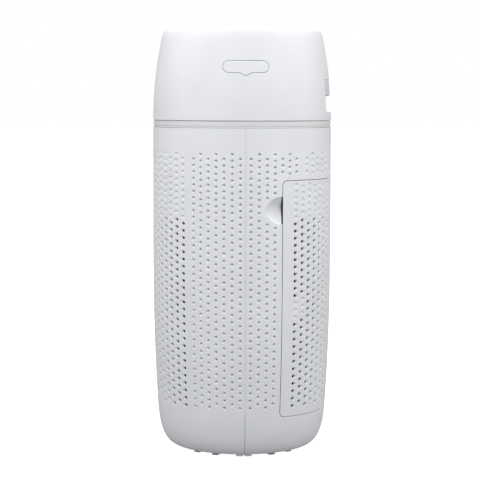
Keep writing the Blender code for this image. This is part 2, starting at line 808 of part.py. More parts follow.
# ---------------------------------------------------------------- everything
def materials():
    return {
        "shell": material("shell_plastic", (0.80, 0.81, 0.83), 0.38),
        "door": material("door_plastic", (0.80, 0.81, 0.83), 0.38),
        "ring": material("ring_plastic", (0.56, 0.57, 0.60), 0.35),
        "tray": material("tray_plastic", (0.82, 0.83, 0.85), 0.36),
        "cup": material("cup_plastic", (0.74, 0.75, 0.77), 0.42),
        "grip": material("grip_plastic", (0.66, 0.67, 0.70), 0.45),
        "grille": material("grille_plastic", (0.72, 0.73, 0.75), 0.42),
        "panel": material("panel_plastic", (0.06, 0.06, 0.07), 0.22),
        "button": material("button_plastic", (0.12, 0.12, 0.13), 0.35),
        "lens": material("lens_plastic", (0.02, 0.02, 0.03), 0.10),
        "board": material("circuit_board", (0.03, 0.20, 0.10), 0.50),
        "chassis": material("chassis_plastic", (0.50, 0.51, 0.53), 0.50),
        "fan": material("fan_plastic", (0.10, 0.10, 0.11), 0.45),
        "motor": material("motor_case", (0.45, 0.45, 0.46), 0.35, 0.8),
        "steel": material("bright_steel", (0.62, 0.62, 0.64), 0.28, 1.0),
        "magnet": material("magnet_metal", (0.35, 0.35, 0.36), 0.30, 0.9),
        "switch": material("switch_plastic", (0.05, 0.05, 0.05), 0.45),
        "socket": material("socket_plastic", (0.04, 0.04, 0.04), 0.50),
        "base": material("base_plastic", (0.70, 0.71, 0.73), 0.45),
        "rubber": material("foot_rubber", (0.28, 0.28, 0.29), 0.80),
        "cap": material("filter_cap", (0.75, 0.76, 0.78), 0.50),
        "media": material("filter_paper", (0.88, 0.88, 0.86), 0.90),
        "sleeve": material("sleeve_mesh", (0.15, 0.16, 0.17), 0.80),
        "carbon": material("carbon_fibre_felt", (0.04, 0.04, 0.04), 0.90),
        "foam": material("gasket_foam", (0.12, 0.12, 0.12), 0.90),
        "ribbon": material("pull_ribbon", (0.18, 0.34, 0.55), 0.80),
        "pad": material("pad_felt", (0.86, 0.84, 0.78), 0.95),
    }


def build():
    clear_scene()
    mats = materials()
    front_shell(mats)
    rear_shell(mats)
    axis = filter_door(mats)[1]
    door_magnet(mats, axis)
    simple = [
        latch_catch,
        interlock_switch,
        accent_ring,
        head_shell,
        handle_cup,
        handle_grip,
        aroma_tray,
        aroma_pad,
        tray_guide,
        top_grille,
        control_panel,
        display_lens,
        panel_tub,
        control_board,
        air_duct,
        fan_housing,
        motor_mount,
        fan_motor,
        motor_shaft,
        fan_impeller,
        fan_deck,
        inlet_guard,
        filter_seat,
        filter_cap_bottom,
        filter_cap_top,
        filter_media,
        prefilter_sleeve,
        carbon_core,
        filter_gasket,
        filter_pull_tab,
        base_pan,
        power_board,
        power_inlet,
    ]
    for piece in simple:
        piece(mats)
    for k in range(BUTTONS):
        push_button(k, mats)
    for k, deg in enumerate((0.0, 100.0, 180.0, 260.0)):
        pillar(k, deg, mats)
    for k in range(4):
        base_screw(k, mats)
    for k, deg in enumerate((27.5, 49.0, 131.0, 152.5, 207.5, 229.0, 311.0, 332.5)):
        foot_pad(k, deg, mats)


build()
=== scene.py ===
"""Looks for the round tower air purifier: perforated half shells, head, door, trims and the parts inside."""

import bmesh
import bpy
import numpy as np
from math import atan2, cos, pi, radians, sin, sqrt
from mathutils import Matrix, Vector
from mathutils.geometry import delaunay_2d_cdt


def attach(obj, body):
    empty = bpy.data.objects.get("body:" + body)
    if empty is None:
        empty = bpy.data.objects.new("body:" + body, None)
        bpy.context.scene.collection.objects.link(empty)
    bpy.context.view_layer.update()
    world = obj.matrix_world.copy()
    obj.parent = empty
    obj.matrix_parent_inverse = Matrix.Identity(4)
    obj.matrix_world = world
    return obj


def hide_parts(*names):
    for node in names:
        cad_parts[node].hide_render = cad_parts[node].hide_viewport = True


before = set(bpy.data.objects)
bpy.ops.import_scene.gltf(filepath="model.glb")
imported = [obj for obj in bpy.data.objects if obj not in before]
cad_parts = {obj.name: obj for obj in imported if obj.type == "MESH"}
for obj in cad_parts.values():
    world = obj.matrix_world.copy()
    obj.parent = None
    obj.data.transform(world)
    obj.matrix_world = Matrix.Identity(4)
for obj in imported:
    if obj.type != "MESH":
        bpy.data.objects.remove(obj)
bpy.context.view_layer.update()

# Millimetres throughout; MM turns them into metres when a mesh is made.
MM = 0.001

# Body: a cylinder that tapers gently and rounds into a flat bottom.
BODY_R = 115.0
WALL = 2.6
TAPER_TOP = 279.5
TAPER_END = 55.2
TAPER_SHARE = 0.051
TAPER_POWER = 2.6
CORNER = [(109.135, 55.2), (107.2, 26.5), (101.2, 3.4), (80.5, 3.4)]
FLANGE_R = 69.2
BASE_Z = 3.4
BODY_TOP = 415.6

# The seam between the halves: its half width, and how much wider it is below a height.
SEAM_HALF_DEG = 0.03
SEAM_OPEN_Z = 64.0
SEAM_OPEN = 0.14

# Head: the curves of its side and of its top edge, the hole in its top, and the band below it.
HEAD_SIDE = [(114.8, 424.8), (114.8, 465.8), (109.8, 501.4), (104.1, 527.9)]
HEAD_EDGE = [(104.1, 527.9), (102.9, 533.0), (101.2, 540.5), (96.6, 540.5)]
TOP_Z = 540.5
TOP_HOLE_R = 84.4
HEAD_STEPS = 120
HEAD_EDGES = (0.6, 0.8, 0.7, 0.3)
RING_Z = (415.9, 424.5)
RING_R = (109.0, 114.6)

# Filter door, and the height and half size of the scoop for a finger beside it.
DOOR_DEG = (23.6, 73.7)
DOOR_Z = (53.4, 351.2)
DOOR_CORNER = 7.0
DOOR_EDGE_DEG = 0.36
DOOR_GAP = 0.6
DOOR_SLOPE = 1.5
SCOOP_Z = 314.1
SCOOP_HALF = (22.3, 17.1)
SCOOP_STEPS = 18

# The scoop's moulding: its wall, how far it runs under the door, the slot along the door, where its two
# slopes meet, how far its tips stop short, how deep it is, and how full the slopes are.
SCOOP_WALL = 1.6
SCOOP_UNDER = 0.437
SCOOP_SLOT = 1.5
SCOOP_CREASE = 0.3
SCOOP_TIP = 0.09
SCOOP_DEEP = 8.0
SCOOP_FULL = 0.9

# Handle recess in the back of the head, and the pill-shaped tray cover with its point on its side.
HANDLE_DEG = (66.0, 114.0)
HANDLE_Z = (434.8, 476.4)
HANDLE_CORNER = 3.0
HANDLE_LOW_CORNER = 8.0
GRIP_Z = (455.6, 476.0)
PILL_Z = 491.2
PILL_HALF = (28.65, 7.7)
PILL_GAP = 0.5
TAB_POINT = (8.0, 4.0)
POINT_SHAPE = ((-1.0, 0.0), (-0.5, 0.5), (-0.1, 0.93), (0.1, 0.93), (0.5, 0.5), (1.0, 0.0))

# The perforated field: rows by height in three zones, columns by angle. Beyond FAR_DEG the dimples are blind.
ROW_TOPS = ((377.2, 382.95), (296.24, 300.72), (179.51, 184.23))
ROW_STEPS = (8.04, 8.98, 9.41)
ROW_COUNTS = (10, 13, 13)
SEAM_FIRST_DEG = 3.28
SEAM_STEP_DEG = 5.126
SEAM_COLUMNS = 7
FRONT_DEG = (-42.2, -137.8)
FRONT_COLUMNS = 18
FAR_DEG = 118.0
DOOR_FIRST_DEG = 33.5
DOOR_STEP_DEG = 5.7
DOOR_COLUMNS = 7
CATCH_BAND = (178.0, 203.0)
HOLE_ROOM = 4.6

# A dish's centre rises as it deepens, and its upper side leans more than its lower one.
DISH_POINTS = 12
DISH_LIFT = 0.4
DISH_LEAN = 0.45
DISH_STEEPEST = 88.0
DISH_ROOM = 1.2
DISH_FLOOR = 1.06

# Each dish as rings from its rim inward: half width, half height, depth, tip of the surface in degrees.
# A pore ends in a hole right through, of the half width and half height given last. A small dimple ends in a
# floor painted dark as shade.
WIDE_RIM = ((3.9, 2.9, 0.0, 0.0), (3.6, 2.65, 0.14, 35.0))
SMALL_RIM = ((2.7, 2.75, 0.0, 0.0), (2.45, 2.5, 0.15, 38.0))
DISHES = {
    "small": (SMALL_RIM + ((1.7, 1.65, 0.8, 52.0), (0.65, 0.5, 1.7, 75.0)), ()),
    "blind": (WIDE_RIM + ((2.9, 2.1, 0.75, 45.0), (1.7, 1.3, 1.35, 25.0)), ()),
    "pore": (WIDE_RIM + ((2.8, 2.25, 0.85, 45.0), (2.0, 1.92, 1.45, 70.0)), (1.95, 1.87)),
}

# How finely walls and outlines are divided, and how near a loose point may stand to an edge.
SPACING_DEG = 3.0
STATION_MM = 9.0
STATION_TURN = 5.0
RIM_MM = 5.0
CORNER_STEPS = 6
PILL_STEPS = 14
PILL_FLAT = 6
SPARE_ROOM = 1.6
MITRE_LIMIT = 0.3
TINY = 1e-9
NEAR_MM = 0.01

# A rounded edge as fractions of its radius, inward and down, with the surface's tip in degrees.
EDGE_TURN = ((1.0, 0.0, 0.0), (0.293, 0.293, 45.0), (0.0, 1.0, 90.0))
BEVEL_FROM_DEG = 32
SHELL_EDGE = 0.22
DOOR_EDGE = 0.5
INLET_EDGE = 0.4

# The power inlet's opening, in the middle of the rear.
INLET_Z = 40.0
INLET_HALF = (13.2, 7.0)

# Top.
BUTTON_RING_R = 26.0
BUTTON_STEP_DEG = 42.0
BUTTON_R = 6.0
BUTTONS = 5
PANEL_R = 42.6
PANEL_Z = 540.4
GRILLE_SPOKES = 16
ICON_Z = (540.18, 540.4)
ICON_LINE = 0.2

# Fan.
THROAT_R = 78.0
FAN_BLADES = 9
BLADE_STEPS = 12
BLADE_SWEEP = radians(44.0)

# Filter.
MEDIA_Z = (57.8, 339.8)
PLEATS = 64
NET_R = 41.25
NET_ROWS = 84
NET_TURNS = 72
NET_THREAD = 0.55

# Pieces that stand round the axis, by angle.
PILLAR_DEGS = (0.0, 100.0, 180.0, 260.0)
PAD_DEGS = (27.5, 49.0, 131.0, 152.5, 207.5, 229.0, 311.0, 332.5)
FOOT_DEGS = (3.9, 78.0, 102.0, 176.1)

# Textures: the part of a texture's range that colour and gloss follow, and the depth of plastic's grain.
TINT_RANGE = (0.35, 0.65)
GLOSS_RANGE = (0.3, 0.7)
PLASTIC_GRAIN = 0.00004
WHITE = (0.80, 0.81, 0.835)

# The view: where the eye stands round the unit, how far, how high, and how it is turned, in radians.
CAMERA_DEG = -2.38
CAMERA_AWAY = 2.1237
CAMERA_HIGH = 0.4493
CAMERA_DOWN = 0.084854
CAMERA_ROLL = -0.002405
CAMERA_YAW = -0.001096
LENS = 122.738
SENSOR = 36.0

# The pale room and its floor.
ROOM_BELOW = 0.30
ROOM_ABOVE = 0.475
FLOOR_GLOW = 0.82
FLOOR_HALF = 30.0
WHITE_LIGHT = (1.0, 1.0, 1.0, 1.0)

# Each lamp: place, width and height, power.
LAMP_AIM = (0.0, 0.0, 0.30)
LAMPS = {
    "front": ((1.30, 0.05, 0.75), (0.7, 0.7), 1.5),
    "right": ((0.95, 0.75, 0.50), (0.6, 0.8), 2.85),
    "left": ((0.95, -0.65, 0.50), (0.6, 0.8), 1.85),
    "high_left": ((0.75, -0.55, 1.35), (0.5, 0.5), 2.3),
    "right_side": ((0.15, 1.15, 0.75), (0.6, 0.9), 3.75),
    "left_side": ((0.15, -1.15, 0.75), (0.6, 0.9), 3.45),
    "top": ((0.1, 0.0, 1.9), (1.0, 1.0), 18.0),
}


# ---- outlines
def bezier(ctrl, count, skip_first=False):
    found = []
    for k in range(1 if skip_first else 0, count + 1):
        t = k / count
        s = 1 - t
        weights = (s**3, 3 * s * s * t, 3 * s * t * t, t**3)
        found.append(tuple(sum(w * p[axis] for w, p in zip(weights, ctrl)) for axis in (0, 1)))
    return found


def taper_radius(z):
    down = max(0.0, TAPER_TOP - z) / (TAPER_TOP - TAPER_END)
    return BODY_R * (1 - TAPER_SHARE * down**TAPER_POWER)


class Profile:
    """An outer line of revolution, (radius, height) in millimetres, read by distance along it."""

    def __init__(self, line):
        self.line = np.array(line, float)
        step = np.diff(self.line, axis=0)
        self.along = np.concatenate([[0.0], np.cumsum(np.hypot(step[:, 0], step[:, 1]))])
        self.total = float(self.along[-1])
        tangent = np.gradient(self.line, self.along, axis=0)
        tangent /= np.linalg.norm(tangent, axis=1, keepdims=True)
        self.tangent = tangent

    def at(self, v):
        """Points, upward tangents and outward normals at distances v."""
        spots = np.stack([np.interp(v, self.along, self.line[:, k]) for k in (0, 1)], axis=-1)
        way = np.stack([np.interp(v, self.along, self.tangent[:, k]) for k in (0, 1)], axis=-1)
        way /= np.linalg.norm(way, axis=-1, keepdims=True)
        normal = np.stack([way[..., 1], -way[..., 0]], axis=-1)
        return spots, way, normal

    def height(self, z):
        """The distance along the line at which it reaches height z."""
        return float(np.interp(z, self.line[:, 1], self.along))

    def stations(self, low, high):
        """Distances from low to high, closer together where the line bends."""
        fine = np.linspace(low, high, 600)
        way = self.at(fine)[1]
        angle = np.unwrap(np.arctan2(way[:, 1], way[:, 0]))
        steps = np.abs(np.diff(angle)) / radians(STATION_TURN) + np.diff(fine) / STATION_MM
        effort = np.concatenate([[0.0], np.cumsum(steps)])
        count = max(2, int(round(effort[-1])))
        return np.interp(np.linspace(0, effort[-1], count + 1), effort, fine)


def body_profile():
    line = [(FLANGE_R + (CORNER[3][0] - FLANGE_R) * k / 6, BASE_Z) for k in range(6)]
    line += list(reversed(bezier(CORNER, 40)))
    steps = 80
    for k in range(1, steps + 1):
        z = TAPER_END + (TAPER_TOP - TAPER_END) * k / steps
        line.append((taper_radius(z), z))
    line += [(BODY_R, TAPER_TOP + (BODY_TOP - TAPER_TOP) * k / 10) for k in range(1, 11)]
    return Profile(line)


def head_profile():
    line = bezier(HEAD_SIDE, 60) + bezier(HEAD_EDGE, 30, skip_first=True)
    line += [(HEAD_EDGE[3][0] + (TOP_HOLE_R - HEAD_EDGE[3][0]) * k / 6, TOP_Z) for k in range(1, 7)]
    return Profile(line)


def span(low, high, step):
    """Even steps from low to high, the last one left out."""
    count = max(1, int(round(abs(high - low) / step)))
    return [low + (high - low) * k / count for k in range(count)]


def arc_mm(deg):
    return radians(deg) * BODY_R


def oblong(x, y):
    """The four corners of a rectangle, anticlockwise."""
    return [(x[0], y[0]), (x[1], y[0]), (x[1], y[1]), (x[0], y[1])]


def placed(name, mesh):
    obj = bpy.data.objects.new(name, mesh)
    bpy.context.collection.objects.link(obj)
    return obj


def rectangle(profile, deg, v):
    """The outline of a whole strip of wall, anticlockwise in (arc, distance)."""
    a, b = arc_mm(deg[0]), arc_mm(deg[1])
    rows = list(profile.stations(v[0], v[1]))
    loop = [(s, v[0]) for s in span(a, b, arc_mm(SPACING_DEG))]
    loop += [(b, row) for row in rows[:-1]]
    loop += [(s, v[1]) for s in span(b, a, arc_mm(SPACING_DEG))]
    loop += [(a, row) for row in reversed(rows[1:])]
    return loop


def rounded(profile, deg, z, corner, low_corner=None):
    """A rounded rectangle in the wall, anticlockwise in (arc, distance)."""
    a, b = arc_mm(deg[0]), arc_mm(deg[1])
    low, high = profile.height(z[0]), profile.height(z[1])
    loop = []
    under = low_corner or corner
    corners = (
        (a + under, low + under, 180.0, under, (b - under, low)),
        (b - under, low + under, 270.0, under, (b, high - corner)),
        (b - corner, high - corner, 0.0, corner, (a + corner, high)),
        (a + corner, high - corner, 90.0, corner, (a, low + under)),
    )
    for cx, cy, start, radius, after in corners:
        for k in range(CORNER_STEPS + 1):
            angle = radians(start + 90.0 * k / CORNER_STEPS)
            loop.append((cx + radius * cos(angle), cy + radius * sin(angle)))
        last = loop[-1]
        gap = sqrt((after[0] - last[0]) ** 2 + (after[1] - last[1]) ** 2)
        count = max(1, int(round(gap / RIM_MM)))
        for k in range(1, count):
            t = k / count
            loop.append((last[0] + (after[0] - last[0]) * t, last[1] + (after[1] - last[1]) * t))
    return loop


def leftward(loop, closed):
    """For each point of a loop, the mitred direction to its left side."""
    points = np.array(loop)
    after = np.roll(points, -1, axis=0) - points
    before = points - np.roll(points, 1, axis=0)
    if not closed:
        after[-1] = before[-1]
        before[0] = after[0]
    after /= np.linalg.norm(after, axis=1, keepdims=True)
    before /= np.linalg.norm(before, axis=1, keepdims=True)
    left_a = np.stack([-after[:, 1], after[:, 0]], axis=1)
    left_b = np.stack([-before[:, 1], before[:, 0]], axis=1)
    mid = left_a + left_b
    size = np.maximum(1.0 + np.sum(left_a * left_b, axis=1, keepdims=True), MITRE_LIMIT)
    return mid / size


# ---- perforated walls
class Wall:
    """A moulded wall of revolution with rounded edges, openings, dimples and holes."""

    def __init__(self, profile):
        self.profile = profile
        self.place = []
        self.tilt = []
        self.faces = []
        self.count = 0
        # Faces that take the second material, dark grey as painted shade: the inner face and the small
        # dimples' floors.
        self.inner = []

    def add(self, s, v, depth, tilt=0.0, way=(0.0, 0.0), inside=False):
        """Vertices at arc s and distance v, sunk by depth, their normals tipped by tilt towards way."""
        s = np.asarray(s, float)
        v = np.broadcast_to(np.asarray(v, float), s.shape)
        depth = np.broadcast_to(np.asarray(depth, float), s.shape)
        spots, rise, normal = self.profile.at(v)
        theta = s / BODY_R
        r = spots[:, 0] - depth * normal[:, 0]
        z = spots[:, 1] - depth * normal[:, 1]
        radial = np.stack([np.cos(theta), np.sin(theta), np.zeros_like(theta)], axis=1)
        across = np.stack([-np.sin(theta), np.cos(theta), np.zeros_like(theta)], axis=1)
        up = np.array([0.0, 0.0, 1.0])
        out = radial * normal[:, :1] + up * normal[:, 1:]
        rising = radial * rise[:, :1] + up * rise[:, 1:]
        way = np.broadcast_to(np.asarray(way, float), (len(s), 2))
        side = across * way[:, :1] + rising * way[:, 1:]
        side = side / np.maximum(np.linalg.norm(side, axis=1, keepdims=True), TINY)
        lean = np.radians(np.broadcast_to(np.asarray(tilt, float), s.shape))[:, None]
        shade = out * np.cos(lean) + side * np.sin(lean)
        if inside:
            shade = -out
        self.place.append(radial * r[:, None] + up * z[:, None])
        self.tilt.append(shade)
        first = self.count
        self.count += len(s)
        return np.arange(first, self.count)

    def bridge(self, outer, inner, closed=True):
        """Quads between two rings of the same length; outer lies to the left of inner."""
        n = len(outer)
        for i in range(n if closed else n - 1):
            j = (i + 1) % n
            self.faces.append((inner[i], inner[j], outer[j], outer[i]))

    def triangulate(self, rings, spare, closed):
        """Triangles over everything left of the rings, as indices into all their points together."""
        points = []
        edges = []
        owner = []
        for which, (loop, shut) in enumerate(zip(rings, closed)):
            first = len(points)
            points += [tuple(p) for p in loop]
            owner += [which] * len(loop)
            for k in range(len(loop) if shut else len(loop) - 1):
                edges.append((first + k, first + (k + 1) % len(loop)))
        points += [tuple(p) for p in spare]
        owner += [-1] * len(spare)
        made = delaunay_2d_cdt([Vector(p) for p in points], edges, [], 0, 1e-5)
        source = [found[0] if found else None for found in made[3]]
        return points, owner, [[source[i] for i in face] for face in made[2]]

    def rim(self, points, shut, edge, under):
        """One outline's rounded edge and the wall's thickness below it: two rings and their vertices."""
        left = leftward(points, shut)
        bands = []
        for inset, sink, tilt in EDGE_TURN:
            at = points + left * inset * edge
            bands.append(self.add(at[:, 0], at[:, 1], sink * edge, tilt, -left))
            if len(bands) == 1:
                top = at
        base = points + left * under
        bands.append(self.add(base[:, 0], base[:, 1], WALL, 90.0, -left))
        for outer, inner in zip(bands, bands[1:]):
            self.bridge(outer, inner, shut)
        return (top, bands[0], shut), (base, self.add(base[:, 0], base[:, 1], WALL, inside=True), shut)

    def dish(self, s, v, kind):
        """One dimple, with a hole through the wall at its end if it is a pore."""
        turn = np.arange(DISH_POINTS) * 2 * pi / DISH_POINTS
        unit = np.stack([np.cos(turn), np.sin(turn)], axis=1)
        stages, pore = DISHES[kind]
        bands = []
        for half_s, half_v, sink, tilt in stages:
            ring = np.array([s, v + DISH_LIFT * min(sink, 1.0)]) + unit * (half_s, half_v)
            lean = np.minimum(tilt * (1 + DISH_LEAN * unit[:, 1]), DISH_STEEPEST)
            bands.append(self.add(ring[:, 0], ring[:, 1], sink, lean, -unit * (half_v, half_s)))
            if len(bands) == 1:
                top = ring[::-1]
        low = []
        if pore:
            ring = np.array([s, v + DISH_LIFT]) + unit * pore
            bands.append(self.add(ring[:, 0], ring[:, 1], WALL, 90.0, -unit))
            low.append((ring[::-1], self.add(ring[::-1, 0], ring[::-1, 1], WALL, inside=True), True))
        for outer, inner in zip(bands, bands[1:]):
            self.bridge(outer[::-1], inner[::-1])
        if not pore:
            centre = self.add([s], [v + DISH_LIFT], stages[-1][2] * DISH_FLOOR)[0]
            for i in range(DISH_POINTS):
                # The floor of a small dimple takes the dark second material: painted shade, not an opening.
                if kind == "small":
                    self.inner.append(len(self.faces))
                self.faces.append((bands[-1][i], bands[-1][(i + 1) % DISH_POINTS], centre))
        return [(top, bands[0][::-1], True)], low

    def build(self, outline, openings, holes, edge, spare, under=0.0):
        """outline: list of (points, closed) running anticlockwise; openings: closed clockwise loops.
        The inner edge is drawn in by under, so that the wall's rim slopes back."""
        chains = [(np.array(p, float), shut) for p, shut in outline]
        chains += [(np.array(p, float), True) for p in openings]
        top, low = [], []
        for (points, shut), radius in zip(chains, edge):
            above, below = self.rim(points, shut, radius, under)
            top.append(above)
            low.append(below)
        for which, (ring, _, _) in enumerate(top):
            spare = spare[gap_to(spare, ring) > SPARE_ROOM]
            if which >= len(outline):
                spare = spare[~inside_many(spare, ring)]
        for s, v, kind in holes:
            half = np.array(DISHES[kind][0][0][:2]) + DISH_ROOM
            spare = spare[np.sum(((spare - (s, v)) / half) ** 2, axis=1) > 1.0]
        for hole in holes:
            above, below = self.dish(*hole)
            top += above
            low += below
        for face, inside in ((top, False), (low, True)):
            self.fill(*zip(*face), len(chains), len(outline), spare, inside)

    def fill(self, rings, ids, shut, loops, outer_loops, spare, inside):
        """The wall's outer or inner face between all its rings."""
        extra = self.add(spare[:, 0], spare[:, 1], WALL if inside else 0.0, inside=inside)
        lookup = np.concatenate([np.asarray(i) for i in ids] + [extra])
        points, owner, faces = self.triangulate(rings, spare, shut)
        for face in faces:
            owners = {owner[i] for i in face}
            if len(owners) == 1:
                which = owners.pop()
                if which >= loops:
                    continue
                mid = np.mean([points[i] for i in face], axis=0)
                opening = which >= outer_loops
                if which >= 0 and shut[which] and inside_many(mid[None], rings[which])[0] == opening:
                    continue
            corners = [int(lookup[i]) for i in face]
            # The inner face takes the dark second material, a painted shade.
            if inside:
                corners.reverse()
                self.inner.append(len(self.faces))
            self.faces.append(tuple(corners))

    def mesh(self, name):
        """The finished object; its inner faces and the small dimples' floors take the second material, a dark
        painted shade.
        """
        place = np.concatenate(self.place) * MM
        shade = np.concatenate(self.tilt)
        mesh = bpy.data.meshes.new(name)
        mesh.from_pydata(place.tolist(), [], self.faces)
        for polygon in mesh.polygons:
            polygon.use_smooth = True
        for index in self.inner:
            mesh.polygons[index].material_index = 1
        mesh.normals_split_custom_set_from_vertices(shade.tolist())
        mesh.update()
        return placed(name, mesh)


def inside_many(points, loop):
    """True for each point that lies inside a closed loop."""
    a = np.asarray(loop)
    b = np.roll(a, -1, axis=0)
    y = points[:, 1][:, None]
    crossing = (a[None, :, 1] > y) != (b[None, :, 1] > y)
    span_y = np.where(crossing, b[None, :, 1] - a[None, :, 1], 1.0)
    at = a[None, :, 0] + (y - a[None, :, 1]) * (b[None, :, 0] - a[None, :, 0]) / span_y
    return (np.sum(crossing & (points[:, 0][:, None] < at), axis=1) % 2).astype(bool)


def gap_to(points, loop):
    """Each point's distance to the nearest side of a closed loop."""
    a = np.asarray(loop, float)
    side = np.roll(a, -1, axis=0) - a
    size = np.maximum(np.sum(side * side, axis=1), 1e-9)
    found = []
    for start in range(0, len(points), 400):
        to = points[start:start + 400, None, :] - a[None, :, :]
        t = np.clip(np.sum(to * side, axis=2) / size, 0, 1)
        found.append(np.min(np.linalg.norm(to - side * t[:, :, None], axis=2), axis=1))
    return np.concatenate(found) if found else np.zeros(0)


def clear_of(spot, loop, inside):
    """True for a hole that stands on the wanted side of a closed loop with room to spare."""
    at = np.array([spot[:2]])
    return inside_many(at, loop)[0] == inside and gap_to(at, loop)[0] > HOLE_ROOM


def rows(parity):
    """The heights of one column's holes and which zone each is in."""
    found = []
    for zone in range(3):
        for k in range(ROW_COUNTS[zone]):
            found.append((ROW_TOPS[zone][parity] - ROW_STEPS[zone] * k, zone))
    return found


def seam_columns(profile, middle, side):
    """Small dimples beside a seam."""
    found = []
    for k in range(SEAM_COLUMNS):
        deg = middle + side * (SEAM_FIRST_DEG + SEAM_STEP_DEG * k)
        found += [(arc_mm(deg), profile.height(z), "small") for z, _ in rows(k % 2)]
    return found


def half_field(profile, side):
    """The dimples and pores of one half of the body: side is -1 for the front and 1 for the rear."""
    holes = seam_columns(profile, 0.0, side) + seam_columns(profile, side * 180.0, -side)
    for k in range(FRONT_COLUMNS):
        angle = -side * (FRONT_DEG[0] + (FRONT_DEG[1] - FRONT_DEG[0]) * k / (FRONT_COLUMNS - 1))
        for z, zone in rows(k % 2):
            blind = zone == 0 or abs(angle) > FAR_DEG
            holes.append((arc_mm(angle), profile.height(z), "blind" if blind else "pore"))
    return holes


def grid(profile, deg, v, step=SPACING_DEG):
    """Loose points spread over a strip of wall."""
    found = []
    for row in profile.stations(v[0], v[1]):
        for s in span(arc_mm(deg[0]), arc_mm(deg[1]), arc_mm(step)):
            found.append((s, row))
    return np.array(found)


def open_seam(profile, outline, deg):
    """The two halves of the body stand further apart where they curve in to the base."""
    low = profile.height(SEAM_OPEN_Z)
    opened = []
    for s, v in outline:
        for end, way in zip(deg, (1, -1)):
            if v < low and abs(s - arc_mm(end)) < NEAR_MM:
                s += way * SEAM_OPEN
        opened.append((s, v))
    return opened


def front_shell(profile):
    wall = Wall(profile)
    deg = (-180 + SEAM_HALF_DEG, -SEAM_HALF_DEG)
    outline = open_seam(profile, rectangle(profile, deg, (0.0, profile.total)), deg)
    spare = grid(profile, deg, (0.0, profile.total))
    wall.build([(outline, True)], [], half_field(profile, -1), [SHELL_EDGE], spare)
    return wall.mesh("front_shell_skin")


def door_opening(profile):
    """The door's opening with the finger scoop cut into its front edge."""
    door = rounded(profile, DOOR_DEG, DOOR_Z, DOOR_CORNER)
    middle = profile.height(SCOOP_Z)
    left = arc_mm(DOOR_DEG[0])
    near = SCOOP_HALF[1] + 1.5
    kept = [p for p in door if abs(p[0] - left) >= NEAR_MM or abs(p[1] - middle) >= near]
    above = [i for i, p in enumerate(kept) if abs(p[0] - left) < NEAR_MM and p[1] > middle]
    scoop = []
    for k in range(SCOOP_STEPS + 1):
        angle = pi / 2 + pi * k / SCOOP_STEPS
        scoop.append((left + SCOOP_HALF[0] * cos(angle), middle + SCOOP_HALF[1] * sin(angle)))
    return kept[:above[-1] + 1] + scoop + kept[above[-1] + 1:]


def rear_shell(profile):
    wall = Wall(profile)
    deg = (SEAM_HALF_DEG, 180 - SEAM_HALF_DEG)
    outline = open_seam(profile, rectangle(profile, deg, (0.0, profile.total)), deg)
    door = door_opening(profile)
    across = [arc_mm(90.0) + side * INLET_HALF[0] for side in (-1, 1)]
    inlet = oblong(across, [profile.height(INLET_Z + side * INLET_HALF[1]) for side in (-1, 1)])[::-1]
    spare = grid(profile, deg, (0.0, profile.total))
    holes = half_field(profile, 1)
    for loop in (door, inlet):
        holes = [hole for hole in holes if clear_of(hole, loop, False)]
        spare = spare[~inside_many(spare, loop)]
    wall.build([(outline, True)], [door[::-1], inlet], holes, [SHELL_EDGE, DOOR_EDGE, INLET_EDGE], spare)
    return wall.mesh("rear_shell_skin")


def filter_door(profile):
    wall = Wall(profile)
    deg = (DOOR_DEG[0] + DOOR_EDGE_DEG, DOOR_DEG[1] - DOOR_EDGE_DEG)
    z = (DOOR_Z[0] + DOOR_GAP, DOOR_Z[1] - DOOR_GAP)
    outline = rounded(profile, deg, z, DOOR_CORNER - DOOR_GAP)
    holes = []
    for k in range(DOOR_COLUMNS):
        for level, zone in rows(k % 2):
            spot = (arc_mm(DOOR_FIRST_DEG + DOOR_STEP_DEG * k), profile.height(level))
            blind = zone == 0 or (k < 2 and CATCH_BAND[0] < level < CATCH_BAND[1])
            if clear_of(spot, outline, True):
                holes.append((*spot, "blind" if blind else "pore"))
    spare = grid(profile, deg, [profile.height(level) for level in z])
    spare = spare[inside_many(spare, outline)]
    wall.build([(outline, True)], [], holes, [DOOR_EDGE], spare, under=DOOR_SLOPE)
    return wall.mesh("filter_door_skin")


def head_shell(profile):
    wall = Wall(profile)
    full = (-180.0, 180.0)
    first, last = arc_mm(full[0]), arc_mm(full[1])
    around = [first + (last - first) * k / HEAD_STEPS for k in range(HEAD_STEPS + 1)]
    low = [(s, 0.0) for s in around]
    high = [(s, profile.total) for s in reversed(around)]
    handle = rounded(profile, HANDLE_DEG, HANDLE_Z, HANDLE_CORNER, low_corner=HANDLE_LOW_CORNER)[::-1]
    pill = pill_loop(profile, PILL_HALF, TAB_POINT)[::-1]
    levels = profile.stations(0.0, profile.total)[1:-1]
    ends = [(arc_mm(deg), v) for deg in reversed(full) for v in levels]
    spare = [p for p in grid(profile, full, (0.0, profile.total)) if abs(p[0]) < arc_mm(179.5)]
    spare = np.array([p for p in spare if 1.0 < p[1] < profile.total - 1.0] + ends)
    for loop in (handle, pill):
        spare = spare[~inside_many(spare, loop)]
    wall.build([(low, False), (high, False)], [handle, pill], [], HEAD_EDGES, spare)
    return wall.mesh("head_shell_skin")


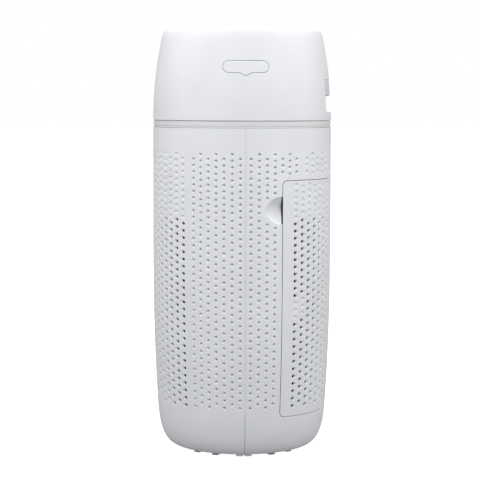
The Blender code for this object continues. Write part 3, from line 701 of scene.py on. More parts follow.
def pill_loop(profile, half, point):
    """A full-round slot seen from the side with a small point below, wrapped on the wall, anticlockwise."""
    flat = []
    for side in (1, -1):
        for k in range(PILL_STEPS + 1):
            angle = -pi / 2 + pi * k / PILL_STEPS
            flat.append((side * (half[0] - half[1] + half[1] * cos(angle)), side * half[1] * sin(angle)))
        y0 = side * (half[0] - half[1])
        for k in range(1, PILL_FLAT):
            y = y0 * (1 - 2 * k / PILL_FLAT)
            if side < 0 and k == PILL_FLAT // 2:
                flat += [(share * point[0], -half[1] - drop * point[1]) for share, drop in POINT_SHAPE]
            elif side > 0 or abs(y) > point[0] + 1.0:
                flat.append((y, side * half[1]))
    loop = []
    for y, dz in flat:
        v = profile.height(PILL_Z + dz)
        r = float(profile.at(np.array([v]))[0][0, 0])
        loop.append((BODY_R * np.arcsin(y / r), v))
    return loop


# ---- moulded and turned parts
def circle(radius, count, centre):
    turn = [2 * pi * k / count for k in range(count)]
    return [(centre[0] + radius * cos(a), centre[1] + radius * sin(a)) for a in turn]


def pill(half_long, half_tall, centre):
    """A full-round slot outline, long along its first axis, anticlockwise."""
    outline = []
    for side in (1, -1):
        for k in range(PILL_STEPS + 1):
            angle = -pi / 2 + pi * k / PILL_STEPS
            along = side * (half_long - half_tall + half_tall * cos(angle))
            outline.append((centre[0] + along, centre[1] + side * half_tall * sin(angle)))
    return outline


def soft_box(x, y, corner, turn=5):
    """A rounded rectangle outline, anticlockwise."""
    outline = []
    spots = ((x[1] - corner, y[0] + corner, 270), (x[1] - corner, y[1] - corner, 0))
    spots += ((x[0] + corner, y[1] - corner, 90), (x[0] + corner, y[0] + corner, 180))
    for cx, cy, start in spots:
        for k in range(turn + 1):
            angle = radians(start + 90 * k / turn)
            outline.append((cx + corner * cos(angle), cy + corner * sin(angle)))
    return outline


class Part:
    """Closed shapes gathered into one piece, in millimetres."""

    def __init__(self):
        self.points = []
        self.faces = []

    def add(self, points, faces):
        base = len(self.points)
        self.points += [tuple(p) for p in points]
        self.faces += [[base + i for i in face] for face in faces]
        return self

    def lathe(self, loop, segs=96, deg=(0.0, 360.0), centre=(0.0, 0.0)):
        """The closed (radius, height) loop turned about an upright axis."""
        full = deg[1] - deg[0] > 359.9
        rows_made = segs if full else segs + 1
        n = len(loop)
        points = []
        for row in range(rows_made):
            angle = radians(deg[0] + (deg[1] - deg[0]) * row / segs)
            for r, z in loop:
                points.append((centre[0] + r * cos(angle), centre[1] + r * sin(angle), z))
        faces = []
        for row in range(segs):
            here = row * n
            there = ((row + 1) % rows_made) * n
            for k in range(n):
                j = (k + 1) % n
                faces.append((here + k, there + k, there + j, here + j))
        if not full:
            faces.append(range(n))
            faces.append(range((rows_made - 1) * n, rows_made * n))
        return self.add(points, faces)

    def prism(self, outline, low, high, axis="Z"):
        count = len(outline)
        points = []
        for level in (low, high):
            for a, b in outline:
                points.append({"Z": (a, b, level), "X": (level, a, b), "Y": (a, level, b)}[axis])
        faces = [range(count), range(count, 2 * count)]
        for k in range(count):
            j = (k + 1) % count
            faces.append((k, j, j + count, k + count))
        return self.add(points, faces)

    def block(self, x, y, z):
        return self.prism(oblong(x, y), z[0], z[1])

    def polar(self, deg, across, radii, z):
        """A box standing at an angle: across is its span along the tangent, radii its span outward."""
        angle = radians(deg)
        outline = []
        for t, r in oblong(across, radii):
            outline.append((r * cos(angle) - t * sin(angle), r * sin(angle) + t * cos(angle)))
        return self.prism(outline, z[0], z[1])

    def rings(self, loops, close_ends=True):
        """A skin through loops of the same length."""
        n = len(loops[0])
        points = [p for loop in loops for p in loop]
        faces = []
        for ring in range(len(loops) - 1):
            for k in range(n):
                j = (k + 1) % n
                faces.append((ring * n + k, ring * n + j, (ring + 1) * n + j, (ring + 1) * n + k))
        if close_ends:
            faces.append(range(n))
            faces.append(range((len(loops) - 1) * n, len(loops) * n))
        return self.add(points, faces)

    def object(self, name, bevel=0.0, sharp=30.0, steps=2):
        bm = bmesh.new()
        verts = [bm.verts.new(Vector(p) * MM) for p in self.points]
        for face in self.faces:
            corners = []
            for i in face:
                if verts[i] not in corners:
                    corners.append(verts[i])
            if len(corners) > 2:
                bm.faces.new(corners)
        bmesh.ops.remove_doubles(bm, verts=bm.verts, dist=1e-7)
        bmesh.ops.dissolve_degenerate(bm, edges=bm.edges, dist=1e-7)
        bmesh.ops.recalc_face_normals(bm, faces=bm.faces)
        mesh = bpy.data.meshes.new(name)
        bm.to_mesh(mesh)
        bm.free()
        for polygon in mesh.polygons:
            polygon.use_smooth = True
        obj = placed(name, mesh)
        if bevel:
            soften(obj, bevel, steps)
        else:
            mesh.set_sharp_from_angle(angle=radians(sharp))
        return obj


def turned(name, loop, segs=96, sharp=30.0):
    """One turned piece from its closed (radius, height) loop."""
    return Part().lathe(loop, segs).object(name, sharp=sharp)


def soften(obj, width, steps=2):
    """A small radius along every sharp edge."""
    edge = obj.modifiers.new("edge", "BEVEL")
    edge.width = width * MM
    edge.segments = steps
    edge.limit_method = "ANGLE"
    edge.angle_limit = radians(BEVEL_FROM_DEG)
    edge.harden_normals = True
    edge.use_clamp_overlap = True
    return obj


def carve(obj, *tools):
    """Cuts the tools out of the object and leaves a plain mesh."""
    for tool in tools:
        step = obj.modifiers.new(tool.name, "BOOLEAN")
        step.operation = "DIFFERENCE"
        step.solver = "EXACT"
        step.object = tool
    graph = bpy.context.evaluated_depsgraph_get()
    made = bpy.data.meshes.new_from_object(obj.evaluated_get(graph))
    obj.modifiers.clear()
    obj.data = made
    for tool in tools:
        bpy.data.objects.remove(tool)
    return obj


def merge(name, *objects):
    """Several finished objects as one piece, modifiers included."""
    graph = bpy.context.evaluated_depsgraph_get()
    bm = bmesh.new()
    for obj in objects:
        made = bpy.data.meshes.new_from_object(obj.evaluated_get(graph))
        bm.from_mesh(made)
        bpy.data.meshes.remove(made)
    mesh = bpy.data.meshes.new(name)
    bm.to_mesh(mesh)
    bm.free()
    for obj in objects:
        bpy.data.objects.remove(obj)
    return placed(name, mesh)


# ---- outside trims
def accent_ring():
    """The double band: a low lip, a groove, and a tall face with its top edge turned in."""
    (inner, outer), (low, high) = RING_R, RING_Z
    face = ((0.4, low), (0.0, low + 0.4), (0.0, low + 1.4), (0.3, low + 1.7), (1.5, low + 1.8))
    face += ((1.5, low + 2.3), (0.5, low + 2.4), (0.3, low + 2.7))
    face += ((0.3, high - 0.9), (0.6, high - 0.6), (1.9, high - 0.5), (1.9, high))
    loop = [(inner, low)] + [(outer - back, z) for back, z in face] + [(inner, high)]
    return turned("accent_ring_trim", loop, 180, 25)


def handle_cup(head):
    """The pocket behind the grip: a moulded cup that follows the inside of the head."""
    clear = WALL + 0.6
    back, floor, bend, steps = 81.6, 84.0, 6.0, 5
    inner_x, inner_z = (-46.9, 46.9), (434.6, 479.6)
    outer_x, outer_z = (-49.4, 49.4), (432.2, 482.0)

    def ring(x, z, corner, depth_at, pull=0.0):
        outline = soft_box((x[0] + pull, x[1] - pull), (z[0] + pull, z[1] - pull), corner, 6)
        return [(a, depth_at(a, b), b) for a, b in outline]

    def front(a, b):
        r = float(head.at(np.array([head.height(b)]))[0][0, 0]) - clear
        return sqrt(r * r - a * a)

    loops = [ring(outer_x, outer_z, 6.0, lambda a, b: back + 3.0), ring(outer_x, outer_z, 6.0, front)]
    loops.append(ring(inner_x, inner_z, 4.0, front))
    for k in range(steps + 1):
        angle = pi / 2 * k / steps
        depth = floor + bend * (1 - sin(angle))
        loops.append(ring(inner_x, inner_z, 4.0, lambda a, b, d=depth: d, bend * (1 - cos(angle))))
    part = Part().rings(loops, close_ends=False)
    n = len(loops[0])
    last = (len(loops) - 1) * n
    part.faces.append([last + k for k in range(n)])
    base = len(part.points)
    part.points += ring(outer_x, outer_z, 4.0, lambda a, b: back, 3.0)
    for k in range(n):
        j = (k + 1) % n
        part.faces.append([k, j, base + j, base + k])
    part.faces.append([base + k for k in range(n)])
    return part.object("handle_cup_pocket", sharp=40)


def handle_grip():
    """The bar that the fingers close on, its lower edge rounded, its ends run into the cup's walls."""
    low, high = GRIP_Z
    loop = [(104.0, high), (104.0, low + 4.0)]
    for k in range(1, 6):
        angle = pi / 2 * k / 5
        loop.append((104.0 + 3.5 * (1 - cos(angle)), low + 4.0 - 4.0 * sin(angle)))
    for k in range(7):
        angle = pi / 2 * k / 6
        loop.append((109.9 + 3.0 * sin(angle), low + 3.0 - 3.0 * cos(angle)))
    loop += [(112.3, low + 12.0), (111.7, high - 0.6), (111.1, high)]
    bar = Part().lathe(loop, 48, (HANDLE_DEG[0] + 0.35, HANDLE_DEG[1] - 0.35))
    for side in (-1, 1):
        bar.block(sorted((side * 38.0, side * 46.5)), (88.0, 98.5), (457.4, 475.0))
    return bar.object("handle_grip_bar", bevel=0.3)


def tray_cover(head):
    """The scent tray: its cover, flush in the wall with the small point to pull on, and the box behind."""
    wall = Wall(head)
    half = (PILL_HALF[0] - PILL_GAP, PILL_HALF[1] - PILL_GAP)
    outline = pill_loop(head, half, (TAB_POINT[0] - 0.1, TAB_POINT[1] - 0.05))
    v = [p[1] for p in outline]
    spare = grid(head, (-16.0, 16.0), (min(v), max(v)), 2.0)
    spare = spare[inside_many(spare, np.array(outline))]
    wall.build([(outline, True)], [], [], [0.3], spare)
    cover = wall.mesh("tray_cover")
    tray = Part().block((84.0, 107.8), (-21.0, 21.0), (486.4, 495.8)).object("tray_box")
    hollow = Part().prism(soft_box((85.8, 105.0), (-19.2, 19.2), 2.0), 488.0, 499.0).object("tray_hollow")
    carve(tray, hollow)
    soften(tray, 0.4)
    tongue = Part().block((107.0, 110.4), (-6.4, 6.4), (486.6, 488.0)).object("tray_tongue", bevel=0.3)
    return merge("aroma_tray_cover", cover, tray, tongue)


def tray_guide():
    guide = Part().block((81.4, 103.2), (-24.0, 24.0), (483.4, 498.8)).object("aroma_tray_guide")
    hollow = Part().block((83.2, 120.0), (-21.5, 21.5), (485.6, 496.6)).object("guide_hollow")
    return soften(carve(guide, hollow), 0.4)


def scent_pad():
    """A felt block, a little crowned, that drinks up the fragrance oil."""
    loops = []
    for z, pull in ((488.3, 1.0), (488.9, 0.3), (490.2, 0.0), (492.7, 0.0), (494.0, 0.35), (494.6, 1.4)):
        outline = soft_box((86.2 + pull, 104.6 - pull), (-18.8 + pull, 18.8 - pull), 2.4)
        loops.append([(x, y, z) for x, y in outline])
    return Part().rings(loops).object("aroma_pad_felt", sharp=60)


def door_fittings(door):
    """The hinge hooks, their arms and the catch prong on the door's inner side."""
    parts = Part()
    for low in (92.0, 196.0, 300.0):
        z = (low, low + 16.0)
        r = taper_radius(low)
        parts.polar(DOOR_DEG[1], (-6.0, -2.0), (r - 5.6, r - 1.6), z)
        parts.polar(DOOR_DEG[1], (-6.0, 4.5), (r - 5.6, r - 3.3), z)
    parts.polar(27.5, (-1.0, 1.0), (104.6, 113.4), (184.0, 198.0))
    return merge("filter_door_panel", door, parts.object("door_hooks", bevel=0.4))


def scoop_bowl(profile):
    """The hollow beside the door: two slopes that meet in a crease, and a slot for a fingertip."""
    left = arc_mm(DOOR_DEG[0])
    middle = profile.height(SCOOP_Z)
    around, across = 24, 10
    wide = across + 1

    def spot(s, v, depth):
        place, _, normal = profile.at(np.array([v]))
        r = place[0, 0] - depth * normal[0, 0]
        return r * cos(s / BODY_R), r * sin(s / BODY_R), place[0, 1] - depth * normal[0, 1]

    layers = []
    for grow in (0.0, SCOOP_WALL):
        cells = []
        for k in range(around + 1):
            turn = pi / 2 + SCOOP_TIP + (pi - 2 * SCOOP_TIP) * k / around
            up = sin(turn)
            slope = (1 - up) / (1 - SCOOP_CREASE) if up > SCOOP_CREASE else (1 + up) / (1 + SCOOP_CREASE)
            deep = (SCOOP_DEEP + grow) * slope ** SCOOP_FULL
            rim = left + (SCOOP_HALF[0] + grow) * cos(turn)
            end = left + deep * SCOOP_UNDER - SCOOP_SLOT
            for j in range(wide):
                t = j / across
                v = middle + (SCOOP_HALF[1] + grow) * up
                cells.append((rim + (end - rim) * t, v, deep * (1 - (1 - t) ** 4)))
        layers.append([spot(*cell) for cell in cells])
    n = len(layers[0])
    faces = []
    for k in range(around):
        for j in range(across):
            a = k * wide + j
            faces.append((a, a + 1, a + wide + 1, a + wide))
    faces += [tuple(n + i for i in face) for face in faces]
    edge = [k * wide for k in range(around + 1)] + [around * wide + j for j in range(1, wide)]
    edge += [k * wide + across for k in range(around - 1, -1, -1)] + list(range(across - 1, 0, -1))
    for i in range(len(edge)):
        a, b = edge[i], edge[(i + 1) % len(edge)]
        faces.append((a, b, n + b, n + a))
    return Part().add(layers[0] + layers[1], faces).object("scoop_bowl", sharp=50)


def seam_feet(name, degs):
    feet = Part()
    for deg in degs:
        feet.polar(deg, (-4.6, 4.6), (69.6, 80.0), (0.0, 4.4))
    return feet.object(name, bevel=0.8)


def foot_pad(k, deg):
    pad = Part().polar(deg, (-4.0, 4.0), (69.8, 79.8), (0.0, BASE_Z - 0.2))
    return pad.object(f"foot_pad_{k + 1}_soft", bevel=0.9, steps=3)


def base_pan():
    loop = [(0.0, BASE_Z + WALL), (0.0, BASE_Z)]
    for r in (22.0, 34.0, 46.0):
        loop += [(r - 0.8, BASE_Z), (r - 0.5, BASE_Z + 0.5), (r + 0.5, BASE_Z + 0.5), (r + 0.8, BASE_Z)]
    loop += [(68.4, BASE_Z), (68.9, BASE_Z + 0.5), (68.9, BASE_Z + WALL)]
    return turned("base_pan_disc", loop, sharp=40)


def base_screw(k):
    angle = radians(45 + 90 * k)
    spot = (60.0 * cos(angle), 60.0 * sin(angle))
    loop = [(0.0, 1.6), (2.2, 1.6), (2.9, 1.9), (3.2, 2.4), (3.2, 3.2), (0.0, 3.2)]
    screw = Part().lathe(loop, 32, centre=spot).object(f"base_screw_{k + 1}_head")
    slots = []
    for name, a, b in (("cross_a", 1.7, 0.35), ("cross_b", 0.35, 1.7)):
        slot = Part().block((spot[0] - a, spot[0] + a), (spot[1] - b, spot[1] + b), (0.0, 2.4))
        slots.append(slot.object(name))
    carve(screw, *slots)
    screw.data.set_sharp_from_angle(angle=radians(30))
    return screw


def power_inlet():
    body = Part().block((-12.6, 12.6), (86.0, 106.2), (33.4, 46.6)).object("power_inlet_socket")
    hollow = Part().prism(pill(8.8, 4.6, (0.0, 40.0)), 95.0, 110.0, "Y").object("inlet_hollow")
    return soften(carve(body, hollow), 0.4)


def inlet_pins():
    pins = Part()
    for side in (-1, 1):
        pins.prism(circle(1.2, 20, (side * 4.3, 40.0)), 94.4, 103.0, "Y")
    return pins.object("inlet_pins", bevel=0.3)


# ---- top
def button_spot(k):
    angle = radians(-90 + (k - (BUTTONS - 1) / 2) * BUTTON_STEP_DEG)
    return BUTTON_RING_R * cos(angle), BUTTON_RING_R * sin(angle)


def top_grille():
    low, high, soft = 533.0, 540.2, 0.6
    grille = Part()
    for inner, outer in ((81.4, 84.1), (43.0, 45.2)):
        loop = [(inner, low), (outer, low), (outer, high - soft), (outer - soft, high)]
        grille.lathe(loop + [(inner + soft, high), (inner, high - soft)], 120)
    for k in range(GRILLE_SPOKES):
        angle = 2 * pi * (k + 0.5) / GRILLE_SPOKES
        out = (cos(angle), sin(angle))
        side = (-sin(angle), cos(angle))
        loops = []
        for z, half in ((534.0, 0.6), (534.4, 0.9), (538.7, 0.9), (539.3, 0.7), (539.6, 0.35)):
            corners = oblong((44.2, 82.4), (-half, half))
            loops.append([(out[0] * r + side[0] * t, out[1] * r + side[1] * t, z) for r, t in corners])
        grille.rings(loops)
    return grille.object("top_grille_vent", sharp=35)


def control_panel():
    loop = [(0.0, 538.2), (PANEL_R - 1.6, 538.2), (PANEL_R - 1.6, 530.0), (PANEL_R - 0.02, 530.0)]
    loop += [(PANEL_R - 0.02, 540.0), (PANEL_R - 0.2, 540.3), (PANEL_R - 0.6, 540.4), (0.0, 540.4)]
    panel = Part().lathe(loop, 120).object("control_panel_disc")
    tools = []
    for k in range(BUTTONS):
        hole = circle(BUTTON_R + 0.3, 40, button_spot(k))
        tools.append(Part().prism(hole, 536.0, 545.0).object(f"button_hole_{k}"))
    tools.append(Part().prism(pill(13.0, 6.0, (0.0, 5.0)), 536.0, 545.0).object("display_window"))
    carve(panel, *tools)
    panel.data.set_sharp_from_angle(angle=radians(30))
    return panel


def display_lens():
    lens = Part().prism(pill(12.7, 5.7, (0.0, 5.0)), 537.2, 540.3)
    lens.prism(pill(14.5, 7.5, (0.0, 5.0)), 536.0, 537.8)
    return lens.object("display_lens_window", bevel=0.25)


def push_button(k):
    """A round cap with a flange below and a shallow dish on top."""
    top = ((0.0, 535.8), (0.0, 539.7), (0.2, 540.1), (0.6, 540.35), (1.4, PANEL_Z), (3.0, 540.25))
    loop = [(0.0, 534.4), (7.2, 534.4), (7.2, 535.8)] + [(BUTTON_R - inset, z) for inset, z in top]
    loop.append((0.0, 540.2))
    return Part().lathe(loop, 48, centre=button_spot(k)).object(f"button_{k + 1}_cap", sharp=35)


def button_icon(k):
    """A plain sign printed on each button: power, fan, timer, night and lock."""
    cx, cy = button_spot(k)
    icon = Part()

    def bar(x, y, wide, tall):
        icon.prism(oblong((cx + x - wide, cx + x + wide), (cy + y - tall, cy + y + tall)), *ICON_Z)

    def arc(x, y, radius, deg):
        icon.lathe(oblong((radius - ICON_LINE, radius + ICON_LINE), ICON_Z), 28, deg, (cx + x, cy + y))

    if k == 0:
        arc(0, 0, 2.0, (125, 415))
        bar(0, 1.6, 0.2, 1.1)
    elif k == 1:
        for j in range(3):
            turn = 2 * pi * j / 3
            arc(1.1 * cos(turn), 1.1 * sin(turn), 1.0, (j * 120 - 60, j * 120 + 130))
    elif k == 2:
        arc(0, 0, 2.1, (0, 360))
        bar(0, 0.65, 0.18, 0.75)
        bar(0.5, 0, 0.55, 0.18)
    elif k == 3:
        arc(0, 0, 2.1, (60, 300))
        arc(1.1, 0, 1.85, (98, 262))
    else:
        bar(0, -0.7, 1.5, 1.0)
        arc(0, 0.4, 1.1, (0, 180))
    return icon.object(f"button_{k + 1}_icon")


def panel_tub():
    outer = [(0.0, 500.0), (12.0, 500.4), (22.0, 501.8), (30.0, 504.8), (36.0, 509.0), (40.5, 514.8)]
    outer.append((PANEL_R, 522.0))
    inner = [(r - 1.7, z + 1.4) for r, z in reversed(outer[1:])]
    loop = outer + [(PANEL_R, 529.7), (PANEL_R - 1.7, 529.7)] + inner + [(0.0, 502.0)]
    return turned("panel_tub_bowl", loop, sharp=35)


# ---- fan
def air_duct():
    return turned("air_duct_tube", oblong((THROAT_R - 2, THROAT_R), (438.0, 533.4)))


def fan_housing():
    line = [(106.0, 356.3), (106.0, 390.0), (105.2, 400.0), (102.0, 411.0), (97.0, 418.0), (90.0, 423.4)]
    line += [(84.0, 427.0), (81.0, 430.0), (79.8, 433.4), (79.8, 437.7)]
    loop = line + [(r - 2.0, z - (1.4 if 400 < z < 430 else 0.0)) for r, z in reversed(line)]
    return turned("fan_housing_scroll", loop)


def motor_mount():
    mount = Part().lathe(oblong((73.6, 77.4), (433.0, 437.6)))
    for k in range(4):
        mount.polar(90.0 * k, (-4.0, 4.0), (31.0, 75.0), (433.4, 437.2))
    mount.lathe(oblong((0.0, 33.0), (433.2, 436.0)), 64)
    return mount.object("motor_mount_spider", bevel=0.5)


def fan_motor():
    loop = [(3.5, 398.0), (27.5, 398.0), (29.3, 398.7), (30.0, 400.5), (30.0, 409.0), (29.5, 409.4)]
    loop += [(29.5, 410.6), (30.0, 411.0), (30.0, 430.0), (29.3, 431.9), (27.5, 432.8), (0.0, 432.8)]
    return turned("fan_motor_can", loop + [(0.0, 407.0), (3.5, 407.0)], 72, 35)


def motor_shaft():
    loop = [(0.0, 377.0), (2.6, 377.0), (3.0, 377.4), (3.0, 406.0), (2.6, 406.4), (0.0, 406.4)]
    return turned("motor_shaft_rod", loop, 32, 35)


def blade_line(k):
    """The middle line of one blade, swept back as it runs outward."""
    line = []
    for j in range(BLADE_STEPS + 1):
        t = j / BLADE_STEPS
        angle = 2 * pi * k / FAN_BLADES - BLADE_SWEEP * t**0.9
        line.append(((41.0 + 32.2 * t) * cos(angle), (41.0 + 32.2 * t) * sin(angle)))
    return line


def fan_impeller():
    """A hub and backplate, a front ring, and curved blades that thin at their ends."""
    hub = [(3.3, 377.5), (9.0, 377.5), (10.0, 386.0), (13.0, 388.4), (20.0, 390.0), (74.0, 390.0)]
    fan = Part().lathe(hub + [(74.0, 392.6), (3.3, 392.6)])
    fan.lathe([(44.0, 360.8), (74.0, 361.6), (74.0, 363.6), (44.0, 363.6)])
    for k in range(FAN_BLADES):
        line = blade_line(k)
        left, right = [], []
        for j, (x, y) in enumerate(line):
            ax, ay = line[max(0, j - 1)]
            bx, by = line[min(BLADE_STEPS, j + 1)]
            way = atan2(by - ay, bx - ax)
            half = 1.1 if 0 < j < BLADE_STEPS else 0.6
            left.append((x - half * sin(way), y + half * cos(way)))
            right.append((x + half * sin(way), y - half * cos(way)))
        outline = left + right[::-1]
        n = len(outline)
        points = [(x, y, z) for z in (362.8, 390.8) for x, y in outline]
        faces = []
        for j in range(BLADE_STEPS):
            quad = (j, j + 1, n - 2 - j, n - 1 - j)
            faces += [quad, [n + i for i in quad]]
        faces += [(j, (j + 1) % n, n + (j + 1) % n, n + j) for j in range(n)]
        fan.add(points, faces)
    return fan.object("fan_impeller_wheel", sharp=35)


def fan_deck():
    return turned("fan_deck_plate", oblong((42.0, 111.4), (353.0, 356.0)))


def inlet_guard():
    guard = Part().lathe(oblong((38.6, 41.6), (353.2, 357.0)), 72)
    guard.lathe(oblong((19.0, 21.0), (353.4, 356.4)), 48)
    for k in range(3):
        guard.polar(60.0 * k, (-1.0, 1.0), (-39.6, 39.6), (353.6, 356.0))
    return guard.object("inlet_guard_ring", bevel=0.3)


# ---- filter
def filter_media():
    """Deep pleated paper, each fold rounded a little at its crest and root."""
    outer, inner = [], []
    for k in range(PLEATS):
        for t, r in ((0.0, 40.4), (0.14, 39.9), (0.5, 31.0), (0.86, 39.9)):
            angle = 2 * pi * (k + t) / PLEATS
            outer.append((r * cos(angle), r * sin(angle)))
            inner.append(((r - 1.8) * cos(angle), (r - 1.8) * sin(angle)))
    low, high = MEDIA_Z
    loops = []
    for outline, z in ((inner, low), (outer, low), (outer, high), (inner, high), (inner, low)):
        loops.append([(x, y, z) for x, y in outline])
    return Part().rings(loops, close_ends=False).object("filter_media_pleats", sharp=50)


def prefilter_sleeve():
    """A knitted net pulled over the cartridge, its threads crossing on the slant."""
    bm = bmesh.new()
    rows_made = []
    for row in range(NET_ROWS + 1):
        z = MEDIA_Z[0] + 0.4 + (MEDIA_Z[1] - MEDIA_Z[0] - 0.8) * row / NET_ROWS
        ring = []
        for k in range(NET_TURNS):
            angle = 2 * pi * (k + 0.5 * (row % 2)) / NET_TURNS
            ring.append(bm.verts.new((NET_R * MM * cos(angle), NET_R * MM * sin(angle), z * MM)))
        rows_made.append(ring)
    for row in range(NET_ROWS):
        low, high = rows_made[row], rows_made[row + 1]
        for k in range(NET_TURNS):
            j = (k + 1) % NET_TURNS
            if row % 2:
                bm.faces.new((low[k], low[j], high[j]))
                bm.faces.new((low[k], high[j], high[k]))
            else:
                bm.faces.new((low[k], low[j], high[k]))
                bm.faces.new((low[j], high[j], high[k]))
    mesh = bpy.data.meshes.new("prefilter_net")
    bm.to_mesh(mesh)
    bm.free()
    net = placed("prefilter_net", mesh)
    wire = net.modifiers.new("threads", "WIREFRAME")
    wire.thickness = NET_THREAD * MM
    wire.use_even_offset = False
    return net


def carbon_core():
    return turned("carbon_core_felt", oblong((24.4, 28.4), MEDIA_Z), 72)


def filter_cap_bottom():
    """A moulded end cap with a rolled edge and a lip that holds the pleats."""
    loop = [(0.0, 54.0), (42.4, 54.0), (43.0, 54.6), (43.0, 63.7), (42.6, 64.0), (42.1, 64.0)]
    return turned("filter_cap_low", loop + [(42.1, 57.5), (0.0, 57.5)], sharp=35)


def filter_cap_top():
    """The other cap, turned over and open in the middle."""
    low, high = 333.6, 343.6
    loop = [(22.0, high), (22.0, high - 3.5), (42.1, high - 3.5), (42.1, low), (42.6, low), (43.0, low + 0.3)]
    return turned("filter_cap_high", loop + [(43.0, high - 0.6), (42.4, high)], sharp=35)


def filter_gasket():
    loop = [(26.0, 344.9), (26.4, 343.9), (37.6, 343.9), (38.6, 344.9), (39.0, 346.4), (39.0, 350.4)]
    loop += [(38.4, 352.2), (37.2, 352.8), (27.4, 352.8), (26.3, 352.2), (26.0, 350.4)]
    return turned("filter_gasket_foam", loop, 72, 60)


def pull_tab():
    """A woven ribbon that hangs down the side of the cartridge from its top cap."""
    turn = radians(sum(DOOR_DEG) / 2)
    side = (-sin(turn), cos(turn))
    out = (cos(turn), sin(turn))
    count = 24
    loops = []
    for k in range(count + 1):
        z = 342.6 - 50.6 * k / count
        loop = []
        for t, r in oblong((-9.0, 9.0), (0.0, 0.6)):
            bow = 43.45 + r + 0.2 * sin(pi * k / count)
            loop.append((out[0] * bow + side[0] * t, out[1] * bow + side[1] * t, z))
        loops.append(loop)
    return Part().rings(loops).object("filter_pull_ribbon", sharp=30)


def filter_seat():
    seat = Part().lathe([(0.0, 50.6), (103.4, 50.6), (104.0, 51.2), (104.0, 53.7), (0.0, 53.7)], 120)
    fence = [(43.9, 52.5), (45.9, 52.5), (45.9, 67.4), (45.3, 68.0), (44.5, 68.0), (43.9, 67.4)]
    seat.lathe(fence, 60, (148.0, 310.0))
    return seat.object("filter_seat_plate", sharp=35)


def pillar(k, deg):
    centre = (98.0 * cos(radians(deg)), 98.0 * sin(radians(deg)))
    loop = [(0.0, 53.8), (4.0, 53.8), (4.0, 60.0), (3.4, 64.0), (3.4, 342.0), (4.0, 346.0), (4.0, 352.9)]
    loop.append((0.0, 352.9))
    return Part().lathe(loop, 32, centre=centre).object(f"pillar_{k + 1}_post", sharp=35)


def small_block(name, *boxes, bevel=0.4):
    part = Part()
    for deg, across, radii, z in boxes:
        part.polar(deg, across, radii, z)
    return part.object(name, bevel=bevel)


# ---- materials
def nodes_of(name):
    mat = bpy.data.materials.new(name)
    mat.use_nodes = True
    tree = mat.node_tree
    return mat, tree, tree.nodes["Principled BSDF"]


def noise(tree, scale, detail, rough=0.5, stretch=None):
    """A fractal texture's value over the object's own space, drawn out along an axis if stretch is given."""
    place = tree.nodes.new("ShaderNodeTexCoord").outputs["Object"]
    if stretch:
        mapping = tree.nodes.new("ShaderNodeMapping")
        mapping.inputs["Scale"].default_value = stretch
        tree.links.new(place, mapping.inputs["Vector"])
        place = mapping.outputs["Vector"]
    node = tree.nodes.new("ShaderNodeTexNoise")
    node.inputs["Scale"].default_value = scale
    node.inputs["Detail"].default_value = detail
    node.inputs["Roughness"].default_value = rough
    tree.links.new(place, node.inputs["Vector"])
    return node.outputs["Fac"]


def tint(tree, shader, texture, low, high):
    """Base colour that drifts between two near colours with a texture."""
    node = tree.nodes.new("ShaderNodeValToRGB")
    for element, position, colour in zip(node.color_ramp.elements, TINT_RANGE, (low, high)):
        element.position = position
        element.color = (*colour, 1.0)
    tree.links.new(texture, node.inputs["Fac"])
    tree.links.new(node.outputs["Color"], shader.inputs["Base Color"])


def shades(colour, vary):
    """A colour a little darker and a little lighter."""
    return tuple(c * (1 - vary) for c in colour), tuple(min(1.0, c * (1 + vary)) for c in colour)


def remap(tree, source, given, wanted):
    """A value stretched from one range to another."""
    node = tree.nodes.new("ShaderNodeMapRange")
    node.inputs["From Min"].default_value, node.inputs["From Max"].default_value = given
    node.inputs["To Min"].default_value, node.inputs["To Max"].default_value = wanted
    tree.links.new(source, node.inputs["Value"])
    return node.outputs["Result"]


def gloss(tree, shader, texture, low, high):
    """Roughness that varies between two values with a texture."""
    tree.links.new(remap(tree, texture, GLOSS_RANGE, (low, high)), shader.inputs["Roughness"])


def grain(tree, shader, texture, strength, depth):
    """A fine relief from a texture, depth in metres."""
    bump = tree.nodes.new("ShaderNodeBump")
    bump.inputs["Strength"].default_value = strength
    bump.inputs["Distance"].default_value = depth
    tree.links.new(texture, bump.inputs["Height"])
    tree.links.new(bump.outputs["Normal"], shader.inputs["Normal"])


def plastic(name, colour, roughness, fine=2600.0, strength=0.25):
    """Moulded plastic: a fine spark-eroded grain, slow drifts of colour, and uneven gloss."""
    mat, tree, shader = nodes_of(name)
    tint(tree, shader, noise(tree, 14.0, 4.0), *shades(colour, 0.02))
    gloss(tree, shader, noise(tree, 55.0, 3.0), roughness - 0.04, roughness + 0.05)
    grain(tree, shader, noise(tree, fine, 2.0, 0.6), strength, PLASTIC_GRAIN)
    return mat


def metal(name, colour, roughness):
    """Drawn or turned metal with fine streaks."""
    mat, tree, shader = nodes_of(name)
    streak = noise(tree, 700.0, 2.0, stretch=(1.0, 1.0, 0.06))
    tint(tree, shader, streak, shades(colour, 0.1)[0], colour)
    gloss(tree, shader, streak, roughness, roughness + 0.15)
    shader.inputs["Metallic"].default_value = 1.0
    return mat


def fibrous(name, colour, scale, depth, strength, vary, sheen=0.0):
    """Felt, foam, paper or rubber: an open matt surface with a coarse grain."""
    mat, tree, shader = nodes_of(name)
    skin = noise(tree, scale, 6.0, 0.7)
    tint(tree, shader, skin, *shades(colour, vary))
    grain(tree, shader, skin, strength, depth)
    gloss(tree, shader, skin, 0.82, 0.97)
    shader.inputs["Sheen Weight"].default_value = sheen
    return mat


